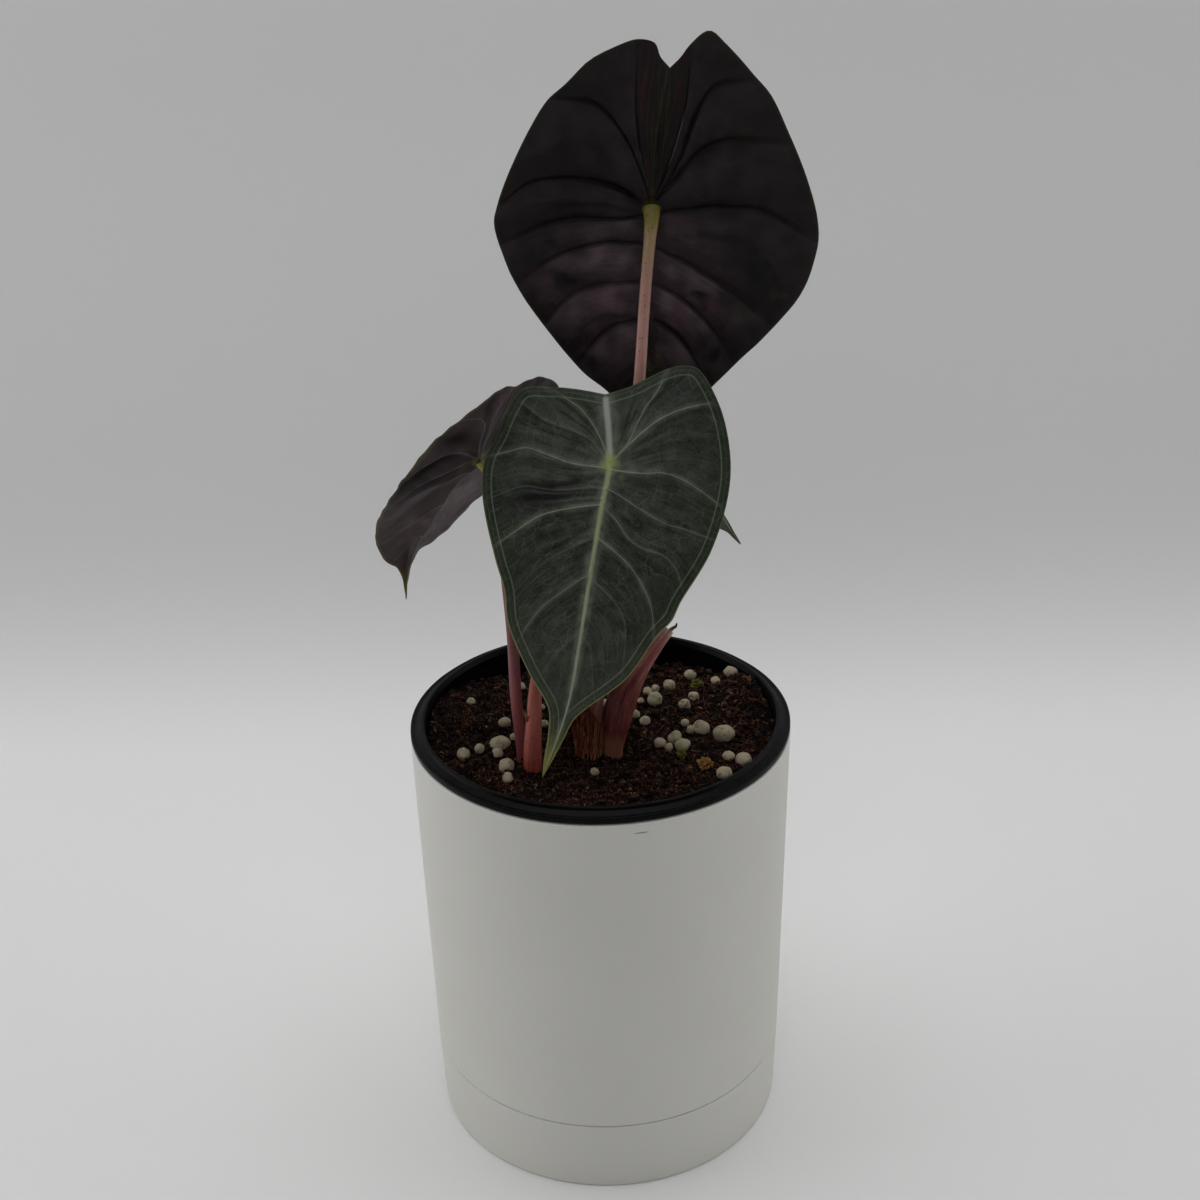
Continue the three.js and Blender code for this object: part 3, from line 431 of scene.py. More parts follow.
def plant_matter(name, dark, mid, light, rough=0.8):
    """Loose matter of plants, such as moist peat, bark, coir, cork or moss: near black in the gaps, brown
    on the crumbs and pale on broken shreds. The near black is partly its own dark moist colour and partly
    painted shade, as the colour sinks where the crumb pattern sinks the bump. It is rough, so it has no
    shine beyond small wet glints."""
    material, tree, shader = new_material(name)
    crumb_mm, shred_mm, clod_mm = 2.0, 0.9, 7.0
    place = add(tree, "TexCoord").outputs["Object"]
    crumbs = add(
        tree, "TexNoise", {"Vector": place, "Scale": 1 / (crumb_mm * MM), "Detail": 8.0, "Roughness": 0.72}
    )
    shreds = add(
        tree, "TexNoise", {"Vector": place, "Scale": 1 / (shred_mm * MM), "Detail": 4.0, "Distortion": 1.5}
    )
    # dark where the crumb pattern is low, which is also low in the bump: painted shade in the gaps
    body = add(tree, "MapRange", (crumbs, 0.41, 0.62, 0.0, 1.0))
    clods = add(tree, "TexNoise", {"Vector": place, "Scale": 1 / (clod_mm * MM), "Detail": 3.0})
    clod = add(tree, "MapRange", (clods, 0.38, 0.6, 0.3, 1.15))
    body = add(tree, "Math", (body, clod), operation="MULTIPLY")
    flecks = add(tree, "MapRange", (shreds, 0.6, 0.7, 0.0, 0.85))
    soil_tone = add(tree, "Mix", {0: body, 6: linear(dark), 7: linear(mid)}, data_type="RGBA")
    colour = add(tree, "Mix", {0: flecks, 6: soil_tone, 7: linear(light)}, data_type="RGBA")
    height = add(tree, "Math", (crumbs, shreds), operation="ADD")
    bump = add(tree, "Bump", {"Height": height, "Strength": 0.9, "Distance": 0.5 * MM})
    feed(tree, shader, {
        "Base Color": colour, "Roughness": rough, "IOR": 1.4, "Specular IOR Level": 0.15, "Normal": bump,
    })
    return material


dark_peat = plant_matter("moist_peat", "#010101", "#1E100B", "#7C5844")
soil = mesh_piece("potting_mix", points, faces, [dark_peat])
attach(soil, "root")
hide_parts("soil")

# Perlite: grains of expanded volcanic glass mixed through the soil. They are light, off-white and
# full of pits, lie partly sunk in the surface, and take on brown dust and a little green algae.

PERLITE = [
    (17, 14, 5.1), (22, 24, 4.2), (29, 15, 3.6), (26, 10, 3.9), (15, 19.5, 3), (17.5, 21.5, 2.7),
    (12.5, 14, 2.4), (10.5, 3, 3), (13.5, -1, 3.6), (41.5, 28, 4.2), (25.5, -1, 2.7), (27, -5, 2.7),
    (30, -5, 4.8), (22, -10.5, 4.5), (17.5, -12.5, 3.6), (20, -15, 2.7), (24, -14.5, 4.2),
    (36.5, -9.5, 6), (37, -21.5, 3.6), (41, -24.5, 4.8), (35, -31.5, 4.8),
    (-40.5, -15, 4.2), (-36, -11.5, 3.3), (-30, -9.5, 5.4), (-30.5, -14.5, 3.6), (-29, 2.5, 3.6),
    (-26, -5, 2.4), (-27.5, -22.5, 4.8), (-27, -29.5, 3.6), (-17, 2, 2.7), (-18, 12.5, 2.4),
    (-2, -27.5, 2.7),
]
HIDDEN_GRAINS = 12
GRAIN_SINK = 0.3
GRAIN_SPACE = 6.0

grains = list(PERLITE)
while len(grains) < len(PERLITE) + HIDDEN_GRAINS:
    x = (next(soil_draws) - 0.5) * 80
    y = 8 + next(soil_draws) * 32
    size = 2.4 + next(soil_draws) * 2.4
    crowded = any(math.hypot(gx - x, gy - y) < GRAIN_SPACE for gx, gy, _ in grains)
    if math.hypot(x, y) < 44 and not crowded:
        grains.append((x, y, size))


def ball(steps):
    """The points and faces of a unit ball of even triangles."""
    shape = bmesh.new()
    bmesh.ops.create_icosphere(shape, subdivisions=steps, radius=1)
    vertices = np.array([vertex.co[:] for vertex in shape.verts])
    triangles = np.array([[vertex.index for vertex in face.verts] for face in shape.faces])
    shape.free()
    return vertices, triangles


def gathered(lumps_made):
    """Joins [points, faces] pairs into one list of points and one of faces."""
    all_points = []
    all_faces = []
    count = 0
    for lump_points, lump_faces in lumps_made:
        all_points.append(lump_points)
        all_faces.append(np.asarray(lump_faces) + count)
        count += len(lump_points)
    return np.vstack(all_points), np.vstack(all_faces).tolist()


draw = random.Random(21)
grain_ball, grain_faces = ball(4)
made_grains = []
for x, y, size in grains:
    seed = Vector([draw.uniform(0, 99) for _ in range(3)])
    stretch = np.array([draw.uniform(*limits) for limits in ((0.92, 1.12), (0.86, 1.05), (0.78, 0.95))])
    turn = np.array(Matrix.Rotation(draw.uniform(0, 6.28), 3, "Z"))
    swell = []
    for point in grain_ball:
        spot = Vector(point)
        knobs = 0.16 * noise.noise(spot * 1.2 + seed) + 0.03 * noise.noise(spot * 3.1 + seed)
        pits = 0.04 * max(0.0, 0.45 - noise.voronoi(spot * 2.6 + seed)[0][0])
        swell.append(1 + knobs - pits)
    shaped = grain_ball * np.array(swell)[:, None] * stretch * size / 2
    foot = (x, y, soil_height(x, y) + size * (0.5 - GRAIN_SINK))
    made_grains.append((shaped @ turn.T + foot, grain_faces))
points, faces = gathered(made_grains)

# Expanded perlite: a foam of white volcanic glass. Its pores scatter the light, so it looks chalky and
# soft. Brown dust sits in its hollows, and thin green algae where it stays wet.
PORE_MM, STAIN_MM, ALGAE_MM = 0.45, 2.0, 9.0
perlite_glass, tree, shader = new_material("expanded_perlite")
place = add(tree, "TexCoord").outputs["Object"]
pores = add(tree, "TexVoronoi", {"Vector": place, "Scale": 1 / (PORE_MM * MM), "Randomness": 1.0})
stain = add(
    tree, "TexNoise", {"Vector": place, "Scale": 1 / (STAIN_MM * MM), "Detail": 5.0, "Roughness": 0.75}
)
dirt = add(tree, "MapRange", (stain, 0.53, 0.68, 0.0, 0.9))
algae = add(tree, "TexNoise", {"Vector": place, "Scale": 1 / (ALGAE_MM * MM), "Detail": 2.0})
green = add(tree, "MapRange", (algae, 0.5, 0.66, 0.0, 0.5))
clean = add(tree, "Mix", {0: green, 6: linear("#A2957E"), 7: linear("#868A66")}, data_type="RGBA")
soiled = add(tree, "Mix", {0: dirt, 6: clean, 7: linear("#4A3024")}, data_type="RGBA")
bump = add(tree, "Bump", {"Height": pores, "Strength": 0.6, "Distance": 0.12 * MM})
feed(tree, shader, {"Base Color": soiled, "Roughness": 0.85, "IOR": 1.5, "Normal": bump})

perlite = mesh_piece("perlite_grains", points, faces, [perlite_glass])
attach(perlite, "root")

# Crumbs: loose bits of bark and peat that lie all over the mix, most of them moist and dark red-brown. A
# few are dry and tan, and most of those lie in the heap at the right.

CRUMBS = 6500
TAN_HEAP = (42, 17, 11)  # x, y and width
TAN_SHARE, TAN_SHARE_IN_HEAP = 0.045, 0.4
PLACED_CRUMBS = [(16.1, -30.4, 1.8), (5, -37.9, 1.6), (8, -37, 1.3)]
crumb_draw = random.Random(5)
crumb_ball, crumb_faces = ball(1)
dark_crumbs, tan_crumbs = [], []
while len(dark_crumbs) + len(tan_crumbs) < CRUMBS:
    angle = crumb_draw.uniform(0, 2 * math.pi)
    reach = math.sqrt(crumb_draw.random()) * (wall_radius - 0.8)
    x, y = reach * math.cos(angle), reach * math.sin(angle)
    size = 0.45 + 2.0 * crumb_draw.random() ** 3
    seed = Vector((crumb_draw.uniform(0, 99), crumb_draw.uniform(0, 99), 0))
    swell = np.array([1 + 0.9 * noise.noise(Vector(point) * 1.6 + seed) for point in crumb_ball])
    stretch = np.array([crumb_draw.uniform(*limits) for limits in ((0.7, 1.7), (0.6, 1.1), (0.4, 0.9))])
    turn = np.array(
        Matrix.Rotation(crumb_draw.uniform(0, 6.28), 3, "Z")
        @ Matrix.Rotation(crumb_draw.uniform(-0.6, 0.6), 3, "X")
    )
    lift = size * crumb_draw.uniform(0.0, 0.35)
    heap = math.exp(-((x - TAN_HEAP[0]) ** 2 + (y - TAN_HEAP[1]) ** 2) / TAN_HEAP[2] ** 2)
    shaped = (crumb_ball * swell[:, None] * stretch * size / 2) @ turn.T
    group = tan_crumbs if crumb_draw.random() < TAN_SHARE + TAN_SHARE_IN_HEAP * heap else dark_crumbs
    group.append((shaped + (x, y, crumbed_height(x, y) + lift), crumb_faces))


def placed_lump(x, y, size, shape, roughness, seed, sink=0.3):
    """A knobbly lump of the given size in mm that lies in the soil's surface at x, y."""
    vertices, triangles = shape
    swell = np.array([1 + 0.9 * noise.noise(Vector(point) * roughness + seed) for point in vertices])
    foot = (x, y, soil_height(x, y) + size * sink)
    return vertices * swell[:, None] * size / 2 + foot, triangles


for x, y, size in PLACED_CRUMBS:
    tan_crumbs.append(placed_lump(x, y, size, (crumb_ball, crumb_faces), 1.6, Vector((x, y, 0))))
# both barks are rough and crumbly, the moist one near black in its gaps and the dry one pale
dark_bark = plant_matter("moist_dark_bark", "#020101", "#361A11", "#98705A", rough=0.75)
tan_bark = plant_matter("dry_tan_bark", "#2C1A10", "#6C4C34", "#B49468")
for name, group, finish in (("bark_crumbs", dark_crumbs, dark_bark), ("tan_crumbs", tan_crumbs, tan_bark)):
    crumbs = mesh_piece(name, *gathered(group), [finish])
    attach(crumbs, "root")

# Bark chips: one pale, dry chip of pine bark with a smaller one beside it, at the front right. They are
# broken from the inner bark, so they are yellow and fibrous.

BARK_CHIPS = [(29.3, -26.1, 3.2), (31.2, -25.9, 2.0)]
chips = [
    placed_lump(x, y, size, (grain_ball, grain_faces), 1.5, Vector((x, y, 0)), sink=0.35)
    for x, y, size in BARK_CHIPS
]
dry_bark = plant_matter("dry_inner_bark", "#6A4A22", "#A27A42", "#CCAC70")
chip = mesh_piece("bark_chips", *gathered(chips), [dry_bark])
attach(chip, "root")

# Moss: two small yellow-green cushions of living moss, which grow on the damp mix between the grains.
# Their tiny leaves are far finer than a millimetre, so they show as a rough skin.

MOSS = [(30.3, 23.4, 2.6), (31.6, 24.2, 1.7), (23.6, -19.6, 2.2), (22.9, -18.2, 1.4)]
cushions = [
    placed_lump(x, y, size, (grain_ball, grain_faces), 1.8, Vector((y, x, 0))) for x, y, size in MOSS
]
living_moss = plant_matter("living_moss", "#3A3E14", "#7A7A30", "#A8A650")
moss = mesh_piece("moss_scraps", *gathered(cushions), [living_moss])
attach(moss, "root")

# Fibres: short strands of coir and root that lie across the crumbs, curled, tan to red-brown. Most are
# a few millimetres long, and one in ten is longer.

FIBRES = 1100
SHORT_SHARE = 0.9
FIBRE_STEPS = 7
fibre_draw = random.Random(11)
fibre_sets = []
ring_angles = np.arange(4) * math.pi / 2
for _ in range(FIBRES):
    angle = fibre_draw.uniform(0, 2 * math.pi)
    reach = math.sqrt(fibre_draw.random()) * (wall_radius - 5)
    x, y = reach * math.cos(angle), reach * math.sin(angle)
    heading = fibre_draw.uniform(0, 2 * math.pi)
    bend = fibre_draw.uniform(-0.7, 0.7)
    lengths = (1.2, 5) if fibre_draw.random() < SHORT_SHARE else (5, 9)
    length = fibre_draw.uniform(*lengths)
    thick = fibre_draw.uniform(0.07, 0.19)
    phase = fibre_draw.uniform(0, 6)
    strand = []
    for step in range(FIBRE_STEPS + 1):
        lift = 0.35 + 0.5 * abs(math.sin(phase + step * 0.8))
        centre = np.array([x, y, crumbed_height(x, y) + lift])
        side = np.array([-math.sin(heading), math.cos(heading), 0])
        fine = thick * (1 - 0.6 * abs(2 * step / FIBRE_STEPS - 1))
        strand += [centre + fine * (side * math.cos(a) + np.array([0, 0, math.sin(a)])) for a in ring_angles]
        x += length / FIBRE_STEPS * math.cos(heading)
        y += length / FIBRE_STEPS * math.sin(heading)
        heading += bend
        if math.hypot(x, y) > wall_radius - 0.6:
            heading += math.pi / 2
    strand_faces = [
        [4 * s + k, 4 * s + (k + 1) % 4, 4 * s + 4 + (k + 1) % 4, 4 * s + 4 + k]
        for s in range(FIBRE_STEPS)
        for k in range(4)
    ]
    strand_faces += [[3, 2, 1, 0], [4 * FIBRE_STEPS + k for k in range(4)]]
    fibre_sets.append((np.array(strand), strand_faces))
points, faces = gathered(fibre_sets)
# coir is dry, red-brown and tan, with pale broken ends
coir = plant_matter("coir_fibre", "#3A2016", "#7A5038", "#BC9A70", rough=0.7)
fibres = mesh_piece("coir_fibres", points, faces, [coir])
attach(fibres, "root")

# Rhizome: the short woody stem under the soil, which every stalk grows from. It is corky and brown,
# and it stays the plain solid, because the mix covers it.

cork = plant_matter("corky_rhizome", "#2A1A12", "#5E4230", "#8A6A4E")
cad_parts["rhizome"].data.materials.clear()
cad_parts["rhizome"].data.materials.append(cork)

# Stalks: living petioles, round and juicy, with a smooth waxy skin, fine lengthwise streaks and tiny
# dark specks. They stand in the soil on the rhizome and flare a little where they meet the blade.

STALK_SIDES = 28
STALK_STEPS = 150


def smooth_curve(points):
    """A centripetal curve through the points, as a function of its share from 0 to 1."""
    knots = np.array([(*point, 0.0)[:3] for point in points], float)
    knots = np.vstack([2 * knots[0] - knots[1], knots, 2 * knots[-1] - knots[-2]])

    def at(share):
        """The places at one share or at each of several."""
        place = np.clip(np.atleast_1d(share), 0, 1) * (len(points) - 1)
        k = np.minimum(place.astype(int), len(points) - 2)
        t = (place - k)[:, None]
        a, b, c, d = knots[k], knots[k + 1], knots[k + 2], knots[k + 3]
        ab, bc, cd = (
            np.sqrt(np.maximum(np.linalg.norm(end - start, axis=1), 1e-8))[:, None]
            for start, end in ((a, b), (b, c), (c, d))
        )
        leave = ((b - a) / ab - (c - a) / (ab + bc) + (c - b) / bc) * bc
        arrive = ((c - b) / bc - (d - b) / (bc + cd) + (d - c) / cd) * bc
        bent = -3 * b + 3 * c - 2 * leave - arrive
        return b + leave * t + bent * t**2 + (2 * b - 2 * c + leave + arrive) * t**3

    return at


def stalk_mesh(path, sides=STALK_SIDES, steps=STALK_STEPS, section=None):
    """Points, faces and attributes of a tube along [x, y, z, radius] points. section(share, angle)
    scales its radius."""
    shares = np.linspace(0, 1, steps + 1)
    centres = smooth_curve([point[:3] for point in path])(shares)
    radii = smooth_curve([(point[3], 0, 0) for point in path])(shares)[:, 0]
    tangents = np.gradient(centres, axis=0)
    tangents /= np.linalg.norm(tangents, axis=1)[:, None]
    across = np.array([1.0, 0, 0])
    points, share_values, skin = [], [], []
    run = 0.0
    for k, (centre, tangent, radius) in enumerate(zip(centres, tangents, radii)):
        across = across - tangent * across.dot(tangent)
        across /= np.linalg.norm(across)
        behind = np.cross(tangent, across)
        run += np.linalg.norm(centre - centres[k - 1]) if k else 0.0
        for i in range(sides):
            angle = 2 * math.pi * i / sides
            reach = radius * (section(shares[k], angle) if section else 1)
            reach *= 1 + 0.025 * noise.noise(Vector((run * 0.12, 2 * math.cos(angle), 2 * math.sin(angle))))
            points.append(centre + reach * (across * math.cos(angle) + behind * math.sin(angle)))
            share_values.append(shares[k])
            skin.append((radius * math.cos(angle), radius * math.sin(angle), run))
    faces = [
        (k * sides + i, k * sides + (i + 1) % sides, (k + 1) * sides + (i + 1) % sides, (k + 1) * sides + i)
        for k in range(steps)
        for i in range(sides)
    ]
    faces += [tuple(range(sides))[::-1], tuple(range(steps * sides, (steps + 1) * sides))]
    return points, faces, {"share": share_values, "skin_mm": skin}


def stalk_skin(name, colours, specks="#4E2424", speckle=0.6, contrast=(0.82, 1.12), furrow_mm=0.12):
    """Waxy petiole skin: satin, a little translucent, streaked along its fibres and dotted with pores.
    colours are [share, tint] pairs from the foot to the end, contrast is how dark and how light the
    streaks are, and furrow_mm how deep. The streaks are the skin's own, and since the bump follows them,
    they also give painted shade in its furrows and painted highlight on its ridges. The real dots stand
    closer, and are drawn coarser to show."""
    material, tree, shader = new_material(name)
    streak_mm, streak_stretch, speck_mm = 0.625, 12.5, 1.5
    share = add(tree, "Attribute", attribute_name="share").outputs["Fac"]
    skin = add(tree, "Attribute", attribute_name="skin_mm").outputs["Vector"]
    streak_space = add(tree, "VectorMath", (skin, (1.0, 1.0, 1 / streak_stretch)), operation="MULTIPLY")
    streaks = add(
        tree, "TexNoise", {"Vector": streak_space, "Scale": 1 / streak_mm, "Detail": 4.0, "Roughness": 0.6}
    )
    wander = add(tree, "Math", (streaks, 0.1, share), operation="MULTIPLY_ADD")
    colour = linear(colours[0][1])
    for (start, _), (end, tint) in zip(colours, colours[1:]):
        step = add(
            tree, "MapRange", (wander, start + 0.05, end + 0.05, 0.0, 1.0), interpolation_type="SMOOTHSTEP"
        )
        colour = add(tree, "Mix", {0: step, 6: colour, 7: linear(tint)}, data_type="RGBA")
    dots = add(tree, "TexVoronoi", {"Vector": skin, "Scale": 1 / speck_mm, "Randomness": 1.0})
    dot = add(tree, "MapRange", (dots, 0.1, 0.24, speckle, 0.0))
    speckled = add(tree, "Mix", {0: dot, 6: colour, 7: linear(specks)}, data_type="RGBA")
    # streak tone, with painted shade in the bump's furrows and painted highlight on its ridges
    shade = add(tree, "MapRange", (streaks, 0.3, 0.7, contrast[0], contrast[1]))
    toned = add(tree, "VectorMath", {0: speckled, 3: shade}, operation="SCALE")
    bump = add(tree, "Bump", {"Height": streaks, "Strength": 0.5, "Distance": furrow_mm * MM})
    feed(tree, shader, {
        "Base Color": toned, "Roughness": 0.42, "IOR": 1.42, "Subsurface Weight": 0.12,
        "Subsurface Radius": (1.0, 0.45, 0.3), "Subsurface Scale": 0.8 * MM, "Normal": bump,
    })
    return material


STEM_FOOT_HEIGHT = 120.6
STALKS = {  # [x, y, z, radius] points from the foot up, [share, tint] pairs, and the slot
    "tall_leaf_petiole": (
        [
            (-3.4, -13.7, STEM_FOOT_HEIGHT, 2.6), (-3.4, -13.7, 134, 2.5), (0.2, -12, 153.5, 2.1),
            (7.3, -8, 190, 1.8), (13, -1.5, 239, 1.6), (15.2, 2, 264.5, 1.55), (16.7, 3.6, 279, 1.65),
            (17.2, 4.8, 283.4, 2.0), (17.3, 7.0, 286.0, 2.4),
        ],
        [(0, "#8A4440"), (0.3, "#B37870"), (0.6, "#AE8478"), (0.76, "#9C8462"), (0.87, "#7C7434")],
        "stalk_pink",
    ),
    "front_leaf_petiole": (
        [
            (-19.9, -21.4, STEM_FOOT_HEIGHT, 2.8), (-19.9, -21.4, 134, 2.7), (-19.2, -19.4, 144, 2.35),
            (-18, -15.8, 156, 1.85), (-10.5, -10, 180, 1.6), (-1.4, -6.8, 202.7, 1.5),
            (3.4, -8.6, 216, 1.5), (4.1, -11.6, 220, 1.7), (4.3, -14.6, 221.3, 1.9),
        ],
        [(0, "#84382E"), (0.2, "#AE5C50"), (0.45, "#A86056"), (0.8, "#9A6A50"), (0.97, "#8C8A40")],
        "stalk_red",
    ),
    "left_leaf_petiole": (
        [
            (-23.2, -16.6, STEM_FOOT_HEIGHT, 1.6), (-23.2, -16.6, 134, 1.7), (-24.2, -15.2, 149, 1.7),
            (-24.6, -12, 168, 1.6), (-26.2, -7, 190, 1.4), (-27.6, -3.6, 206, 1.3),
            (-29.2, -1.6, 214, 1.45), (-31.4, -0.4, 217.8, 1.8),
        ],
        [(0, "#662A2A"), (0.25, "#884A4C"), (0.6, "#86525A"), (0.85, "#94704E"), (0.97, "#A09A44")],
        "stalk_pink",
    ),
    "rear_leaf_petiole": (
        [
            (2.6, -7.6, STEM_FOOT_HEIGHT, 1.7), (2.6, -7.6, 134, 1.6), (5, -5, 152, 1.4),
            (12.5, 3, 180, 1.2), (20.5, 10.5, 197, 1.1), (24, 13.6, 204.2, 1.25),
            (27.3, 13.6, 206.8, 1.5),
        ],
        [(0, "#7E3A36"), (0.3, "#A4685E"), (0.7, "#9A6E58"), (0.97, "#8C8A40")],
        "stalk_pink",
    ),
}
for name, (path, colours, slot) in STALKS.items():
    points, faces, attributes = stalk_mesh(path)
    skin = stalk_skin("petiole_skin_" + name.split("_")[0], colours)
    stalk = mesh_piece(name + "_skin", points, faces, [skin], attributes)
    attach(stalk, "root")
    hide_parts(name)

# Scraps: two dry, beige slivers on the left side of the front stalk, where its sheath tore off. They curl
# away from the stalk.

SCRAPS = [
    [
        (-20.8, -19.8, 143.6, 0.5), (-21.5, -19.3, 146.6, 0.42), (-22, -19.2, 148, 0.3),
        (-22.4, -19.6, 149.2, 0.08),
    ],
    [(-20.9, -20.4, 145, 0.4), (-21.3, -20.6, 147, 0.3), (-21.2, -21, 148.3, 0.08)],
]
scraps = []
for path in SCRAPS:
    points, faces, _ = stalk_mesh(path, sides=8, steps=14)
    scraps.append((np.array(points), [face for face in faces if len(face) == 4]))
points, faces = gathered(scraps)
# the torn tissue has dried to a dull beige
torn_sheath = plant_matter("dry_torn_sheath", "#5E4630", "#9A8260", "#B8A07A")
scrap = mesh_piece("front_sheath_scraps", points, faces, [torn_sheath])
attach(scrap, "root")

# Cut stub: the sheathing base of an old petiole, trimmed off. It is a channelled, dusty rose scale that
# widens above the soil, narrows towards its end, and stops in a pale, dry cut face with a brown hook.

STUB_PATH = [
    (3.6, -16.4, STEM_FOOT_HEIGHT, 2.6), (3.6, -16.4, 133.5, 2.9), (4.9, -14.6, 141, 4.1),
    (7.4, -11.6, 149, 4.3), (12, -8.8, 155.3, 2.7), (18, -6.2, 162.4, 1.7), (20.8, -5, 165.6, 1.4),
]


def stub_section(share, angle):
    """A flattened round with a channel along its front that opens above the soil, and fine ridges."""
    channel = math.exp(-(((angle - 1.5 * math.pi) / 0.5) ** 2))
    opened = min(1, max(0, (share - 0.22) / 0.23))
    opened = opened * opened * (3 - 2 * opened)
    ridges = 0.03 * math.sin(15 * angle + 5 * math.sin(4 * share)) * min(1, 3 * share)
    ridges += 0.05 * noise.noise(Vector((14 * share, 2.2 * math.cos(angle), 2.2 * math.sin(angle))))
    return (1 - 0.35 * math.sin(angle) ** 2) * (1 - 0.45 * channel * opened) + ridges


points, faces, attributes = stalk_mesh(STUB_PATH, sides=64, steps=110, section=stub_section)
# its strong streak contrast and deep furrows paint dark wrinkles and light ridges: painted shade and painted
# highlight
stub_skin = stalk_skin(
    "dusty_rose_sheath",
    [
        (0, "#8A6A50"), (0.19, "#805040"), (0.28, "#6A2A28"), (0.5, "#76362F"), (0.75, "#A86660"),
        (0.9, "#B87E74"), (0.98, "#C4A696"),
    ],
    specks="#B8847C",
    speckle=0.25,
    contrast=(0.68, 1.26),
    furrow_mm=0.5,
)
stub = mesh_piece("cut_stub_sheath", points, faces, [stub_skin], attributes)
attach(stub, "root")
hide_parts("cut_stub")

HOOK_PATH = [
    (20.4, -5.2, 165, 0.8), (21.8, -4.7, 166, 0.5), (22.7, -4.4, 166.4, 0.4), (23, -4.3, 167.4, 0.2)
]
points, faces, attributes = stalk_mesh(HOOK_PATH, sides=12, steps=16)
dried = stalk_skin("dried_brown_hook", [(0, "#9A7466"), (0.4, "#5A3C26"), (1, "#3A2818")])
hook = mesh_piece("cut_stub_hook", points, faces, [dried], attributes)
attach(hook, "root")

# Dry sheaths: the papery bracts that wrapped the newest petiole, now dead, thin and brown, torn along
# the top and split into lengthwise fibres. They stand round the stalk with their feet in the soil.

TALL_STALK_FOOT = (-3.4, -13.7)
SHEATHS = {  # radius, the two angles that it stands between, and height above the soil
    "dry_sheath_left": (3.9, 140, 335, 18.5),
    "dry_sheath_rear": (3.7, 10, 118, 10.5),
}
SHEATH_COLUMNS = 72
SHEATH_ROWS = 30
PAPER_THICKNESS = 0.16
# strands 0.6 mm wide and 5 mm long, coarser than the real fibres so that they show
STRANDS_PER_MM = (1.7, 0.2, 1.0)

# Dry papery bract: dead tissue between stiff fibres. It is brown and dull, darker where its strand
# pattern sinks the bump, a painted shade between the fibres, with straw-coloured fibres that stand out along
# it.
papery, tree, shader = new_material("dry_papery_bract")
skin = add(tree, "Attribute", attribute_name="skin_mm").outputs["Vector"]
strand_space = add(tree, "VectorMath", (skin, STRANDS_PER_MM), operation="MULTIPLY")
strands = add(
    tree,
    "TexNoise",
    {"Vector": strand_space, "Scale": 1.0, "Detail": 5.0, "Roughness": 0.7, "Distortion": 1.2},
)
# brown, darker in the low places of the strand pattern as painted shade between the fibres
body = add(tree, "MapRange", (strands, 0.4, 0.58, 0.0, 1.0))
pale = add(tree, "MapRange", (strands, 0.57, 0.64, 0.0, 0.7))
brown = add(tree, "Mix", {0: body, 6: linear("#280A07"), 7: linear("#86391F")}, data_type="RGBA")
straw = add(tree, "Mix", {0: pale, 6: brown, 7: linear("#B08A66")}, data_type="RGBA")
bump = add(tree, "Bump", {"Height": strands, "Strength": 0.8, "Distance": 0.3 * MM})
feed(tree, shader, {"Base Color": straw, "Roughness": 0.6, "Normal": bump})

for name, (radius, start, end, height) in SHEATHS.items():
    seed = len(name)
    outer, inner, skin_places = [], [], []
    for i in range(SHEATH_COLUMNS + 1):
        share = i / SHEATH_COLUMNS
        angle = math.radians(start + (end - start) * share)
        peak = 1 - 0.55 * abs(2 * share - 1) ** 1.6
        torn = 4.6 * noise.noise(Vector((share * 7, seed, 0)))
        torn += 3.2 * noise.noise(Vector((share * 24, seed, 3)))
        top = SOIL_LEVEL + height * peak + torn
        for j in range(SHEATH_ROWS + 1):
            rise = j / SHEATH_ROWS
            z = STEM_FOOT_HEIGHT + 4 + (top - STEM_FOOT_HEIGHT - 4) * rise
            pleats = 0.16 * math.sin(46 * share + 2 * math.sin(3 * rise)) * rise
            curl = 1.3 * noise.noise(Vector((share * 8, rise * 2, seed))) * (0.4 + rise)
            flare = radius + 0.9 * rise * rise + 0.25 * math.sin(5 * share + 3 * rise) * rise + pleats + curl
            for layer, reach in ((outer, flare), (inner, flare - PAPER_THICKNESS)):
                x, y = reach * math.cos(angle), reach * math.sin(angle)
                layer.append((TALL_STALK_FOOT[0] + x, TALL_STALK_FOOT[1] + y, z))
            skin_places.append((share * math.radians(end - start) * radius, z - SOIL_LEVEL, seed))
    row = SHEATH_ROWS + 1
    count = len(outer)
    faces = []
    for i in range(SHEATH_COLUMNS):
        for j in range(SHEATH_ROWS):
            a, b = i * row + j, (i + 1) * row + j
            faces += [(a, b, b + 1, a + 1), (count + a, count + a + 1, count + b + 1, count + b)]
    border = [i * row for i in range(SHEATH_COLUMNS)]
    border += [SHEATH_COLUMNS * row + j for j in range(SHEATH_ROWS)]
    border += [i * row + SHEATH_ROWS for i in range(SHEATH_COLUMNS, 0, -1)]
    border += list(range(SHEATH_ROWS, 0, -1))
    for a, b in zip(border, border[1:] + border[:1]):
        faces.append((b, a, count + a, count + b))
    sheath = mesh_piece(name + "_paper", outer + inner, faces, [papery], {"skin_mm": skin_places * 2})
    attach(sheath, "root")
    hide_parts(name)

# Threads: vascular fibres of the same bracts, left standing where the soft tissue rotted away. They are
# pale, hair-thin and wavy, and run up the outside from the soil.

